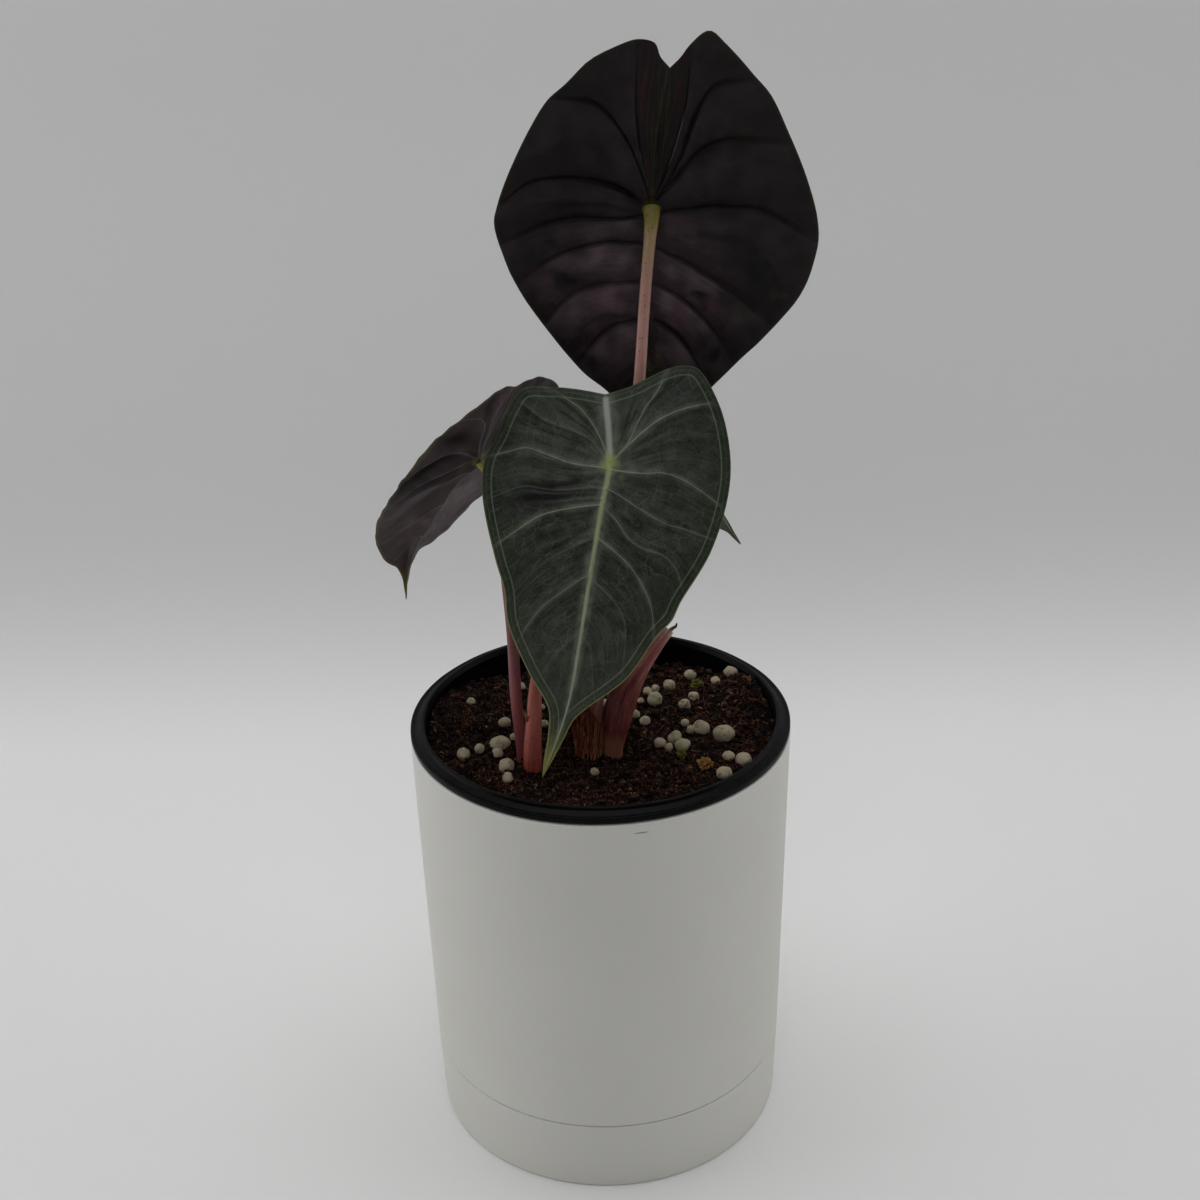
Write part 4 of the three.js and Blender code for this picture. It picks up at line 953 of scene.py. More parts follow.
THREADS = 13
THREAD_RADIUS = 0.14
thread_draw = random.Random(3)
thread_sets = []
for _ in range(THREADS):
    start = math.radians(thread_draw.uniform(215, 330))
    height = thread_draw.uniform(7, 19)
    path = []
    for k in range(7):
        angle = start + thread_draw.uniform(-0.08, 0.08) + 0.02 * k
        reach = 4.35 + 0.1 * k + thread_draw.uniform(-0.1, 0.5)
        rise = SOIL_LEVEL - 1 + height * k / 6
        x, y = reach * math.cos(angle), reach * math.sin(angle)
        path.append((TALL_STALK_FOOT[0] + x, TALL_STALK_FOOT[1] + y, rise, THREAD_RADIUS - 0.013 * k))
    points, faces, _ = stalk_mesh(path, sides=6, steps=40)
    thread_sets.append((np.array(points), [face for face in faces if len(face) == 4]))
points, faces = gathered(thread_sets)
# Vascular fibre: dry, pale and straw-brown, with a dull surface.
thread_skin, tree, shader = new_material("pale_vascular_fibre")
feed(tree, shader, {"Base Color": linear("#94694A"), "Roughness": 0.6})
threads = mesh_piece("sheath_threads", points, faces, [thread_skin])
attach(threads, "root")

# Leaf blades: living, leathery sheets about half a millimetre thick. The lateral veins leave the midrib in
# pairs and draw the sheet into panels, which swell towards the underside. Each blade hangs on its stalk,
# which meets it below the notch between its two lobes.

BLADE_THICKNESS = 0.5
EDGE_THICKNESS = 0.2
RIB_HEIGHT = 0.9
PANEL_ROWS = 16
PANEL_COLUMNS = 80
CURVE_SAMPLES = 801


def eased(count):
    """Shares from 0 to 1 that stand closer together at both ends."""
    even = np.linspace(0, 1, count + 1)
    return 0.35 * even + 0.65 * (1 - np.cos(np.pi * even)) / 2


def nearest_on(points, line):
    """Each point's distance from a line of [u, v] points, and the share along it of the nearest place."""
    least = np.full(len(points), np.inf)
    place = np.zeros(len(points))
    for k in range(len(line) - 1):
        step = line[k + 1] - line[k]
        offset = points - line[k]
        t = np.clip(offset @ step / max(step @ step, 1e-9), 0, 1)
        away = np.hypot(*(offset - t[:, None] * step).T)
        closer = away < least
        least[closer] = away[closer]
        place[closer] = (k + t[closer]) / (len(line) - 1)
    return least, place


def smoothstep(value, start, end):
    """0 before start, 1 after end, and a soft step between them."""
    t = np.clip((value - start) / (end - start), 0, 1)
    return t * t * (3 - 2 * t)


def noise_at(places, seed=0.0):
    """Smooth noise from about -1 to 1 at each place."""
    return np.array([noise.noise(Vector((x, y, z + seed))) for x, y, z in places])


def blade_mesh(blade):
    """Points in mm, faces, attributes and finishes of one blade. Its own frame has u across, v along the
    midrib towards the tip, h out of the upper side, and 0, 0, 0 where the stalk joins. A wrinkle is its
    height, length and width, a pucker its height and size, and a crease its course, depth, width and
    how dark it is painted: painted shade along it, or painted highlight where that is below 0."""
    spine = smooth_curve(blade["spine"])
    samples = np.linspace(0, 1, CURVE_SAMPLES)
    on_spine = spine(samples)
    join = samples[np.hypot(on_spine[:, 0], on_spine[:, 1]).argmin()]
    notch, tip = on_spine[0], on_spine[-1]
    along = eased(PANEL_COLUMNS)
    columns = PANEL_COLUMNS + 1
    sheet, flow, vein, strength, edge, wedge, painted_panel_light, quads = ([] for _ in range(8))

    # each half is a row of panels between two veins, drawn as curves from the midrib to the margin
    for side, margin_points in enumerate(blade["margins"]):
        margin = smooth_curve(margin_points)
        on_margin = margin(samples)
        lines = [(join, 0.0, smooth_curve([(0, 0), notch[:2] / 2, notch[:2]]))]
        for start_v, course in zip(blade["vein_starts"], blade["veins"][side]):
            start = samples[np.abs(on_spine[:, 1] - start_v).argmin()] if start_v else join
            end = samples[np.hypot(*(on_margin[:, :2] - course[-1]).T).argmin()]
            path = smooth_curve([spine(start)[0, :2], *course[:-1], margin(end)[0, :2]])
            lines.append((start, end, path))
        lines.append((1.0, 1.0, smooth_curve([tip[:2], tip[:2]])))

        rows, drawn = [], []
        for panel, (first_line, second_line) in enumerate(zip(lines, lines[1:])):
            for k, across in enumerate(eased(PANEL_ROWS)):
                if panel and k == 0:
                    continue
                start, end, path = first_line
                next_start, next_end, next_path = second_line
                head = spine(start + (next_start - start) * across)[0]
                foot = margin(end + (next_end - end) * across)[0]
                row = path(along) * (1 - across) + next_path(along) * across
                row += (head - row[0]) * (1 - along)[:, None] + (foot - row[-1]) * along[:, None]
                row[:, 2] = head[2] + (foot[2] - head[2]) * along ** blade["arch"]
                toward_tip = np.clip(row[:, 1], 0, None) / tip[1]
                leaning = across if panel == 0 else across ** blade["lean"]
                swell = math.sqrt(max(0, 1 - (2 * leaning - 1) ** 2))
                span = np.linalg.norm((next_path(along) - path(along))[:, :2], axis=1)
                fade = np.sin(np.pi * along**0.75) * np.minimum(1, span / 9)
                bulge = blade["bulge"][side] * (1 - 0.5 * toward_tip)
                lift = blade["funnel"] if panel == 0 else -bulge
                row[:, 2] += lift * swell * fade
                rows.append(row)
                run = np.concatenate([[0], np.cumsum(np.linalg.norm(np.diff(row, axis=0), axis=1))])
                lane = np.full(columns, 10 * (panel + across))
                flow.append(np.column_stack([run, lane, np.full(columns, 60 * side)]))
                wedge.append(np.full(columns, 1 - across if panel == 0 else 0.0))
                # each panel after the first is painted lighter just below its vein, where its swell faces
                # up: painted light
                facing = smoothstep(across, 0, 0.07) * (1 - smoothstep(across, 0.12, 0.95))
                painted_panel_light.append(np.full(columns, 0.0 if panel == 0 else facing) * smoothstep(along, 0.02, 0.2))
                if k == PANEL_ROWS:
                    drawn.append(row[:, :2])

        # the nearest vein to each point, in units of that vein's width
        points = np.vstack(rows)
        normalised = np.full(len(points), 99.0)
        strong = np.zeros(len(points))
        for line, width in zip(drawn[:-1], blade["vein_widths"][side]):
            away, place = nearest_on(points[:, :2], line[::2])
            scaled = away / (width * (1 - 0.55 * place))
            closer = scaled < normalised
            normalised[closer] = scaled[closer]
            strong[closer] = (min(1, width / 0.3) * (1 - 0.5 * place))[closer]
        vein.append(normalised)
        strength.append(strong)
        edge.append(nearest_on(points[:, :2], on_margin[::4, :2])[0])
        base = sum(len(part) for part in sheet)
        sheet.append(points)
        for r in range(len(rows) - 1):
            for c in range(PANEL_COLUMNS):
                a = base + r * columns + c
                quad = (a, a + 1, a + columns + 1, a + columns)
                quads.append(quad if side else quad[::-1])

    # points that panels or halves share become one
    sheet = np.vstack(sheet)
    _, kept, merged = np.unique(np.round(sheet, 4), axis=0, return_index=True, return_inverse=True)
    merged = merged.ravel()
    sheet = sheet[kept]
    flow, edge, wedge = np.vstack(flow)[kept], np.concatenate(edge)[kept], np.concatenate(wedge)[kept]
    vein, strength = np.concatenate(vein)[kept], np.concatenate(strength)[kept]
    painted_panel_light = np.concatenate(painted_panel_light)[kept]
    faces = []
    for quad in quads:
        corners = list(dict.fromkeys(int(merged[i]) for i in quad))
        if len(corners) > 2:
            faces.append(corners)

    plane = sheet[:, :2]
    rib_line = on_spine[:: CURVE_SAMPLES // 100, :2]
    rib_mm, _ = nearest_on(plane, rib_line[np.linalg.norm(rib_line - notch[:2], axis=1) > 0])
    from_join = np.hypot(plane[:, 0], plane[:, 1])
    toward_tip = np.clip(plane[:, 1], 0, None) / tip[1]
    rib_width = np.where(plane[:, 1] > 0, 0.6 * (1 - toward_tip) ** 0.8 + 0.14, 0.85)
    rib_width *= blade["rib"]

    # wrinkles, puckers, a wavy edge and creases, and the painted shade along the creases
    settled = smoothstep(edge, 0, 5) * smoothstep(from_join, 1, 9)
    height, along_mm, across_mm = blade["wrinkle"]
    stretched = flow * (1 / along_mm, 1 / across_mm, 1)
    sheet[:, 2] += height * settled * noise_at(stretched)
    for height, size in blade["puckers"]:
        sheet[:, 2] += height * settled * noise_at(np.column_stack([plane / size, flow[:, 2]]), 7.0 + size)
    # the painted light on the panels varies in strength from place to place
    painted_panel_light *= blade["painted_panel_light"] * (0.75 + 0.9 * noise_at(np.column_stack([plane / 6, flow[:, 2]]), 5.0))
    wave, wave_mm = blade["edge_wave"]
    along_edge = np.column_stack([plane / wave_mm, np.zeros(len(plane))])
    sheet[:, 2] += wave * np.exp(-edge / 4) * noise_at(along_edge, 3.0)
    # painted shade along each crease, or painted highlight where its darkness is below 0
    painted_crease_shade = np.zeros(len(sheet))
    for course, depth, width, painted_darkness in blade["creases"]:
        away, place = nearest_on(plane, smooth_curve(course)(np.linspace(0, 1, 40))[:, :2])
        ragged = width * (1 + 0.35 * noise_at(np.column_stack([plane / 2.5, flow[:, 2]]), 11.0))
        fade = np.sin(np.pi * np.clip(place, 0.06, 0.94)) ** 0.6
        sheet[:, 2] += depth * fade * np.exp(-((away / width) ** 2))
        painted_crease_shade += painted_darkness * fade * np.exp(-((away / ragged) ** 2))

    corners = np.array([(face[0], face[1], face[2]) for face in faces])
    far = np.array([face[-1] for face in faces])
    diagonal, other = sheet[corners[:, 2]] - sheet[corners[:, 0]], sheet[far] - sheet[corners[:, 1]]
    face_normals = np.cross(diagonal, other)
    triangles = np.array([len(face) == 3 for face in faces])
    flat = np.cross(sheet[corners[:, 1]] - sheet[corners[:, 0]], diagonal)
    face_normals[triangles] = flat[triangles]
    normals = np.zeros_like(sheet)
    for k, face in enumerate(faces):
        for i in face:
            normals[i] += face_normals[k]
    normals /= np.maximum(np.linalg.norm(normals, axis=1), 1e-9)[:, None]

    # the two skins stand the thickness apart, and the midrib's keel hangs below
    thin = EDGE_THICKNESS + (BLADE_THICKNESS - EDGE_THICKNESS) * smoothstep(edge, 0, 2.2)
    keel_width = 1.1 * (1 - toward_tip) ** 0.8 + 0.25
    rib = RIB_HEIGHT * (1 - toward_tip) * np.exp(-((rib_mm / keel_width) ** 2))
    rib *= smoothstep(plane[:, 1], -0.5, 2)
    through = np.zeros_like(sheet)
    through[:, 2] = 1 / np.clip(normals[:, 2], 0.5, 1)
    upper = sheet + through * (thin / 2)[:, None]
    lower = sheet - through * (thin / 2 + rib)[:, None]
    count = len(sheet)

    # a rounded rim joins the skins
    edges = {(a, b) for face in faces for a, b in zip(face, face[1:] + face[:1])}
    border = [(a, b) for a, b in edges if (b, a) not in edges]
    border.sort()
    outward = np.zeros_like(sheet)
    for a, b in border:
        out = np.cross(sheet[b] - sheet[a], normals[a])
        outward[a] += out
        outward[b] += out
    ring = sorted({i for pair in border for i in pair})
    ring_index = {i: 2 * count + k for k, i in enumerate(ring)}
    outward = outward[ring] / np.maximum(np.linalg.norm(outward[ring], axis=1), 1e-9)[:, None]
    middle = sheet[ring] + outward * EDGE_THICKNESS * 0.45
    finishes = [0] * len(faces) + [1] * len(faces)
    solid = list(faces) + [[i + count for i in face[::-1]] for face in faces]
    for a, b in border:
        solid += [[a, ring_index[a], ring_index[b], b], [ring_index[a], a + count, b + count, ring_index[b]]]
        finishes += [0, 1]

    tipward = Vector(blade["tipward"]).normalized()
    upward = Vector(blade["upward"])
    upward = (upward - tipward * upward.dot(tipward)).normalized()
    axes = np.array([upward.cross(tipward), tipward, upward])
    everything = np.vstack([upper, lower, middle])

    def on_all(values):
        """One value for each point of the upper skin, the lower skin and the rim."""
        return np.concatenate([values, values, values[ring]])

    attributes = {
        "leaf_mm": on_all(sheet),
        "flow_mm": on_all(flow),
        "vein": on_all(vein),
        "vein_strength": on_all(strength),
        "rib": on_all(rib_mm / rib_width),
        "edge_mm": on_all(edge),
        "wedge": on_all(wedge),
        "painted_panel_light": on_all(painted_panel_light),
        "painted_crease_shade": on_all(np.clip(painted_crease_shade, -1, 1)),
        "drip": on_all(smoothstep(plane[:, 1], tip[1] - blade["drip"], tip[1] - 1)),
    }
    return everything @ axes + np.array(blade["origin"]), solid, attributes, finishes


def upper_cuticle(name, dark, silver, green, halo_tint, vein_tint, margin_tint, silvering=1.0):
    """The upper skin of a leaf: a waxy, satin cuticle. Air under it makes it look silver between fine dark
    streaks, which are drawn stronger as painted shade of its fine wrinkles, and the pale veins, the midrib
    and two veins along the margin show through it. Painted shade darkens it along its creases. The cells
    that make the stipple are under 0.1 mm wide, and are drawn coarser to show."""
    material, tree, shader = new_material(name)
    mottle_mm, streak_mm, net_mm, stipple_mm, patch_mm = 4.0, 0.7, 1.1, 0.45, 16.0
    veinlet_cell_mm, veinlet_mm = 5.0, 0.16
    leaf, flow = (add(tree, "Attribute", attribute_name=n).outputs["Vector"] for n in ("leaf_mm", "flow_mm"))
    vein, strength, rib, edge, painted_crease_shade, drip = (
        add(tree, "Attribute", attribute_name=n).outputs["Fac"]
        for n in ("vein", "vein_strength", "rib", "edge_mm", "painted_crease_shade", "drip")
    )

    mottle = add(
        tree, "TexNoise", {"Vector": leaf, "Scale": 1 / mottle_mm, "Detail": 6.0, "Roughness": 0.62}
    )
    drawn_out = add(tree, "VectorMath", (flow, (0.14, 1 / streak_mm, 1.0)), operation="MULTIPLY")
    streaks = add(tree, "TexNoise", {"Vector": drawn_out, "Scale": 1.0, "Detail": 4.0})
    net = add(tree, "TexVoronoi", {"Vector": leaf, "Scale": 1 / net_mm}, feature="DISTANCE_TO_EDGE")
    stipple = add(tree, "TexNoise", {"Vector": leaf, "Scale": 1 / stipple_mm, "Detail": 2.0})
    both = add(tree, "Math", (mottle, streaks), operation="ADD")
    # the streaks' contrast is raised so that they also stand in as painted shade of the fine wrinkles
    silvery = add(tree, "MapRange", (both, 0.78, 1.3, 0.0, silvering))
    meshwork = add(tree, "MapRange", (net, 0.02, 0.14, 0.3, 0.0))
    speckled = add(tree, "MapRange", (stipple, 0.4, 0.62, 0.72, 1.0))
    silver_share = add(tree, "Math", (silvery, meshwork), operation="ADD")
    silver_share = add(tree, "Math", (silver_share, speckled), operation="MULTIPLY", use_clamp=True)
    patches = add(tree, "TexNoise", {"Vector": leaf, "Scale": 1 / patch_mm, "Detail": 3.0})
    greener = add(tree, "MapRange", (patches, 0.5, 0.68, 0.0, 0.7))
    near_edge = add(tree, "MapRange", (edge, 0.0, 11.0, 0.85, 0.0))
    green_share = add(tree, "Math", (greener, near_edge), operation="MAXIMUM")
    body = add(tree, "Mix", {0: green_share, 6: linear(dark), 7: linear(green)}, data_type="RGBA")
    parts = add(tree, "SeparateXYZ", (leaf,))
    inward = add(tree, "MapRange", (edge, 1.0, 9.0, 0.5, 1.1))
    tipward = add(tree, "MapRange", (parts.outputs[1], 34.0, 72.0, 0.0, 0.5))
    silver_share = add(tree, "Math", (silver_share, inward, tipward), operation="MULTIPLY_ADD")
    silvered = add(tree, "Mix", {0: silver_share, 6: body, 7: linear(silver)}, data_type="RGBA")

    # painted shade along the creases, and painted highlight where their value is below 0
    shaded = add(tree, "MapRange", (painted_crease_shade, -1.0, 1.0, 2.0, 0.0))
    colour = add(tree, "Mix", {0: 1.0, 6: silvered, 7: shaded}, data_type="RGBA", blend_type="MULTIPLY")

    halo = add(tree, "MapRange", (vein, 0.5, 8.0, 0.55, 0.0), interpolation_type="SMOOTHSTEP")
    halo = add(tree, "Math", (halo, strength), operation="MULTIPLY")
    rib_halo = add(tree, "MapRange", (rib, 0.7, 5.0, 0.55, 0.0), interpolation_type="SMOOTHSTEP")
    halo = add(tree, "Math", (halo, rib_halo), operation="MAXIMUM")
    away = add(tree, "VectorMath", (leaf,), operation="LENGTH")
    centre = add(tree, "MapRange", (away, 2.0, 11.0, 0.4, 0.0))
    halo = add(tree, "Math", (halo, centre), operation="MAXIMUM")
    ragged = add(tree, "MapRange", (mottle, 0.35, 0.65, 0.35, 1.3))
    halo = add(tree, "Math", (halo, ragged), operation="MULTIPLY")

    # the mottle bends the net of veinlets
    shifted = add(
        tree, "VectorMath", (mottle.outputs["Color"], (3.4, 3.4, 3.4), leaf), operation="MULTIPLY_ADD"
    )
    veinlets = add(
        tree, "TexVoronoi", {"Vector": shifted, "Scale": 1 / veinlet_cell_mm}, feature="DISTANCE_TO_EDGE"
    )
    veinlet = add(tree, "MapRange", (veinlets, 0.0, veinlet_mm / veinlet_cell_mm, 0.24, 0.0))
    here = add(tree, "MapRange", (patches, 0.42, 0.6, 1.0, 0.15))
    veinlet = add(tree, "Math", (veinlet, here), operation="MULTIPLY")
    line = add(tree, "MapRange", (vein, 0.3, 1.1, 0.8, 0.0))
    inside = add(tree, "MapRange", (edge, 2.1, 2.8, 0.0, 1.0))
    line = add(tree, "Math", (line, strength), operation="MULTIPLY")
    line = add(tree, "Math", (line, inside), operation="MULTIPLY")
    layers = [(halo, linear(halo_tint)), (veinlet, linear(halo_tint)), (line, linear(vein_tint))]
    # two veins collect the others along the margin: distance from it and half width in mm, and strength
    for distance, width, share in ((2.5, 0.27, 0.27), (1.1, 0.18, 0.1)):
        off = add(tree, "Math", (edge, distance), operation="SUBTRACT")
        off = add(tree, "Math", (off,), operation="ABSOLUTE")
        collector = add(tree, "MapRange", (off, 0.3 * width, width, share, 0.0))
        layers.append((collector, linear(vein_tint)))

    down = add(tree, "MapRange", (parts.outputs[1], -3.0, 60.0, 0.0, 1.0))
    rib_tint = add(tree, "Mix", {0: down, 6: linear("#9AA276"), 7: linear(vein_tint)}, data_type="RGBA")
    # above the join the rib line turns pale grey: a painted sheen on the fold along the notch
    above = add(tree, "MapRange", (parts.outputs[1], -4.0, -2.0, 1.0, 0.0))
    rib_tint = add(tree, "Mix", {0: above, 6: rib_tint, 7: linear("#A4AA9E")}, data_type="RGBA")
    rib_line = add(tree, "MapRange", (rib, 0.3, 1.5, 0.9, 0.0), interpolation_type="SMOOTHSTEP")
    star = add(tree, "MapRange", (away, 0.5, 3.4, 0.9, 0.0))
    star = add(tree, "Math", (star, ragged), operation="MULTIPLY")
    rim = add(tree, "MapRange", (edge, 0.1, 0.4, 0.65, 0.0))
    lower = add(tree, "MapRange", (parts.outputs[1], 5.0, 42.0, 0.2, 1.0))
    rim = add(tree, "Math", (rim, lower), operation="MULTIPLY")
    layers += [(rib_line, rib_tint), (star, linear("#98A264"))]
    layers += [(rim, linear(margin_tint)), (drip, linear(margin_tint))]
    for share, tint in layers:
        colour = add(tree, "Mix", {0: share, 6: colour, 7: tint}, data_type="RGBA")
    relief = add(tree, "Math", (net, stipple), operation="ADD")
    bump = add(tree, "Bump", {"Height": relief, "Strength": 0.35, "Distance": 0.1 * MM})
    feed(tree, shader, {
        "Base Color": colour, "Roughness": 0.45, "IOR": 1.45, "Specular IOR Level": 0.35, "Normal": bump,
    })
    return material


def underside_skin(name, dark, light, red, olive, vein_tint, join_tint, painted_sheen):
    """The under skin of a leaf: matt, velvety and purple-black with pigment, with red and olive patches
    where the pigment is thin. Its tone is painted lighter below each vein and darker along the creases,
    as painted light and shade. painted_sheen is the middle of a painted sheen, as u and v in mm, and how
    much lighter that place and the far margin are painted. Its grain is drawn coarser than the real
    cells, so that it shows."""
    material, tree, shader = new_material(name)
    cloud_mm, streak_mm, grain_mm, patch_mm = 7.0, 0.9, 0.5, 9.0
    leaf, flow = (add(tree, "Attribute", attribute_name=n).outputs["Vector"] for n in ("leaf_mm", "flow_mm"))
    vein, strength, edge, wedge, painted_panel_light, painted_crease_shade, drip = (
        add(tree, "Attribute", attribute_name=n).outputs["Fac"]
        for n in ("vein", "vein_strength", "edge_mm", "wedge", "painted_panel_light", "painted_crease_shade", "drip")
    )

    cloud = add(tree, "TexNoise", {"Vector": leaf, "Scale": 1 / cloud_mm, "Detail": 6.0})
    drawn_out = add(tree, "VectorMath", (flow, (0.07, 1 / streak_mm, 1.0)), operation="MULTIPLY")
    streaks = add(tree, "TexNoise", {"Vector": drawn_out, "Scale": 1.0, "Detail": 4.0})
    grain = add(tree, "TexNoise", {"Vector": leaf, "Scale": 1 / grain_mm, "Detail": 3.0})
    uneven = add(tree, "Math", (streaks, 0.45, cloud), operation="MULTIPLY_ADD")
    uneven = add(tree, "MapRange", (uneven, 0.5, 0.95, -0.3, 0.3))
    # the panels' painted light and random unevenness lighten the skin, and the creases' painted shade
    # darkens it
    paler = add(tree, "Math", (painted_panel_light, 0.75, uneven), operation="MULTIPLY_ADD")
    paler = add(tree, "Math", (paler, painted_crease_shade), operation="SUBTRACT", use_clamp=True)
    colour = add(tree, "Mix", {0: paler, 6: linear(dark), 7: linear(light)}, data_type="RGBA")
    patches = add(tree, "TexNoise", {"Vector": leaf, "Scale": 1 / patch_mm, "Detail": 5.0})
    reddish = add(tree, "MapRange", (patches, 0.56, 0.74, 0.0, 0.3))
    thin = add(tree, "MapRange", (patches, 0.38, 0.26, 0.0, 0.3))
    edging = add(tree, "MapRange", (edge, 0.15, 0.8, 0.6, 0.0))
    thin = add(tree, "Math", (thin, edging), operation="MAXIMUM")
    within = add(tree, "MapRange", (wedge, 0.0, 0.12, 0.0, 0.8))
    strokes = add(tree, "MapRange", (streaks, 0.46, 0.62, 0.0, 1.0))
    strokes = add(tree, "Math", (strokes, within), operation="MULTIPLY")
    middle = add(tree, "MapRange", (wedge, 0.55, 0.85, 0.0, 1.0))
    stroke_tint = add(tree, "Mix", {0: middle, 6: linear(red), 7: linear(olive)}, data_type="RGBA")
    line = add(tree, "MapRange", (vein, 0.3, 1.4, 0.45, 0.0))
    line = add(tree, "Math", (line, strength), operation="MULTIPLY")
    layers = [(reddish, linear(red)), (thin, linear(olive)), (within, linear(dark))]
    for share, tint in layers + [(strokes, stroke_tint), (line, linear(vein_tint))]:
        colour = add(tree, "Mix", {0: share, 6: colour, 7: tint}, data_type="RGBA")
    shaded = add(tree, "MapRange", (painted_crease_shade, -1.0, 1.0, 1.9, 0.1))
    # a painted sheen lightens the blade round its middle, and painted shade darkens it towards the margin
    u, v, near, far = painted_sheen
    painted_sheen_share = add(tree, "VectorMath", (leaf, (u, v, -3.0)), operation="DISTANCE")
    painted_sheen_share = add(tree, "MapRange", (painted_sheen_share, 6.0, 36.0, near, far), interpolation_type="SMOOTHSTEP")
    shaded = add(tree, "Math", (shaded, painted_sheen_share), operation="MULTIPLY")
    creased = add(tree, "VectorMath", {0: colour, 3: shaded}, operation="SCALE")
    away = add(tree, "VectorMath", (leaf,), operation="LENGTH")
    joined = add(tree, "MapRange", (away, 1.6, 3.0, 0.9, 0.0))
    joined = add(tree, "Math", (joined, drip), operation="MAXIMUM")
    colour = add(tree, "Mix", {0: joined, 6: creased, 7: linear(join_tint)}, data_type="RGBA")
    bump = add(tree, "Bump", {"Height": grain, "Strength": 0.35, "Distance": 0.12 * MM})
    feed(tree, shader, {
        "Base Color": colour, "Roughness": 0.55, "IOR": 1.45, "Specular IOR Level": 0.2, "Normal": bump,
    })
    return material


# Tall leaf: the oldest and largest, seen from below. Its purple-black panels stand well out between the
# sunken veins, and the sheet folds into a funnel above the stalk.

tall_blade = {
    "origin": (17.3, 8, 286.1),
    "tipward": (0, 0.309, -0.951),
    "upward": (0, 0.951, 0.309),
    "arch": 2,
    "bulge": (2.7, 2.7),
    "lean": 0.6,
    "funnel": 1.6,
    "spine": [
        (-4.5, -41, -2.5), (0, 0, 0), (1, 16, -0.5), (0.5, 38, -2), (-1, 60, -5), (-1, 74, -8.5),
        (-2, 88, -12.5),
    ],
    "margins": [
        [
            (-4.5, -41, -2.5), (-7, -44, -3), (-9.5, -48, -3.5), (-14, -52, -4.5), (-18, -48.5, -4.5),
            (-24.5, -41, -4.5), (-30, -34, -4.5), (-35.5, -22.5, -4.5), (-40.5, -10.5, -5),
            (-44, 1.5, -6), (-44.5, 10.5, -6), (-40.5, 26, -6), (-29, 42.5, -5), (-17.5, 56, -5.5),
            (-8, 67, -7), (-4, 76, -9), (-2, 88, -12.5),
        ],
        [
            (-4.5, -41, -2.5), (-2, -44.5, -3), (-0.5, -48.5, -3.5), (3.5, -49.5, -3.5),
            (7.5, -48.5, -3.5), (15.5, -44.5, -3.5), (21.5, -38.5, -3.5), (27, -33.5, -4),
            (36.5, -16, -4.5), (41, -4.5, -5), (42, 0.5, -5.5), (38.5, 16.5, -5), (32.5, 30, -4.5),
            (20, 49.5, -5), (12, 58, -5.5), (4, 69, -7.5), (1, 78, -9.5), (-2, 88, -12.5),
        ],
    ],
    "vein_starts": [0, 0, 0, 2, 11, 22.5, 34, 51],
    "veins": [
        [
            [(-5.5, -16), (-8.5, -30), (-9.8, -48)],
            [(-7.6, -15), (-11.5, -28), (-16, -36.5), (-26, -39)],
            [(-7.5, -10.5), (-14.5, -19), (-24.5, -21.5), (-36, -21.5)],
            [(-8.5, 0), (-19, -1), (-30, -0.5), (-44.5, 8)],
            [(-8.5, 16), (-15.5, 20.5), (-24, 26.5), (-34, 36)],
            [(-8, 27.5), (-14.5, 34), (-24, 49)],
            [(-4.5, 37.5), (-9, 42), (-17, 57)],
            [(-4, 56), (-8.5, 66.5)],
        ],
        [
            [(2.6, -14), (4.2, -31), (3.5, -49.5)],
            [(4.5, -17), (10.5, -28.5), (16, -33), (25.5, -35)],
            [(8, -6), (15, -9.5), (25, -11), (33, -10), (41, -4.5)],
            [(9, 2.5), (20, 1.5), (31, 3), (41.3, 7)],
            [(9.5, 9.5), (17, 9.8), (26, 12), (37, 20)],
            [(13.5, 22.5), (21.5, 24.5), (30.5, 34)],
            [(11, 36), (22, 46.5)],
            [(6, 54), (10, 60.5)],
        ],
    ],
    "vein_widths": [[0.3] * 8, [0.3] * 8],
    "wrinkle": (0.3, 22, 5.0),
    "puckers": [(0.5, 9), (0.3, 3.6), (0.09, 1.8)],
    "edge_wave": (0.6, 9),
    "rib": 1.0,
    "painted_panel_light": 1.0,
    "drip": 6,
    "creases": [
        ([(3.2, -2), (6.6, -5.6), (9.9, -8.2), (11.9, -9.3)], 0.8, 0.55, 0.8),
        ([(-11.7, 25.6), (-13.1, 25.9), (-15.2, 26.3)], 0.9, 0.9, 1.0),
        ([(-14.5, 43.2), (-17, 45.3), (-19.6, 45.8)], 1.0, 2.6, 0.7),
        ([(26.9, 17.1), (23.2, 21), (19.4, 21.2)], 0.9, 1.9, 0.8),
        ([(27.5, 6.7), (26.6, 8.3)], 0.4, 0.8, 0.7),
        ([(2.5, 2), (8, -1.1), (16.1, -2.9), (23.5, -2.7), (29, 0.4)], 0.35, 0.6, 0.4),
        ([(-5.7, 9), (-13.8, 7), (-21.9, 7.9), (-28.9, 12.9), (-34.1, 21.6), (-35.2, 29)], 0.4, 0.6, 0.4),
        ([(-23.5, 13.7), (-27.8, 18.5), (-29.4, 23.3)], 0.7, 2.3, 0.6),
        ([(-12.9, -4.6), (-15.1, -6.2)], 0.4, 0.6, 0.6),
        ([(28.3, -16.8), (22.9, -20.9), (22.4, -14.3)], 0.6, 2.4, 0.5),
        ([(15.6, -22.7), (10.5, -13.7)], 0.5, 1.7, 0.5),
        ([(18.9, 32.2), (8.3, 32.6), (2.6, 34.8)], 0.35, 0.6, 0.35),
        ([(-0.9, 35), (-5.9, 37.9), (-11.6, 44.8)], 0.5, 0.7, 0.45),
        ([(18.5, 45.7), (15, 47.5)], 0.5, 2.4, 0.4),
    ],
}
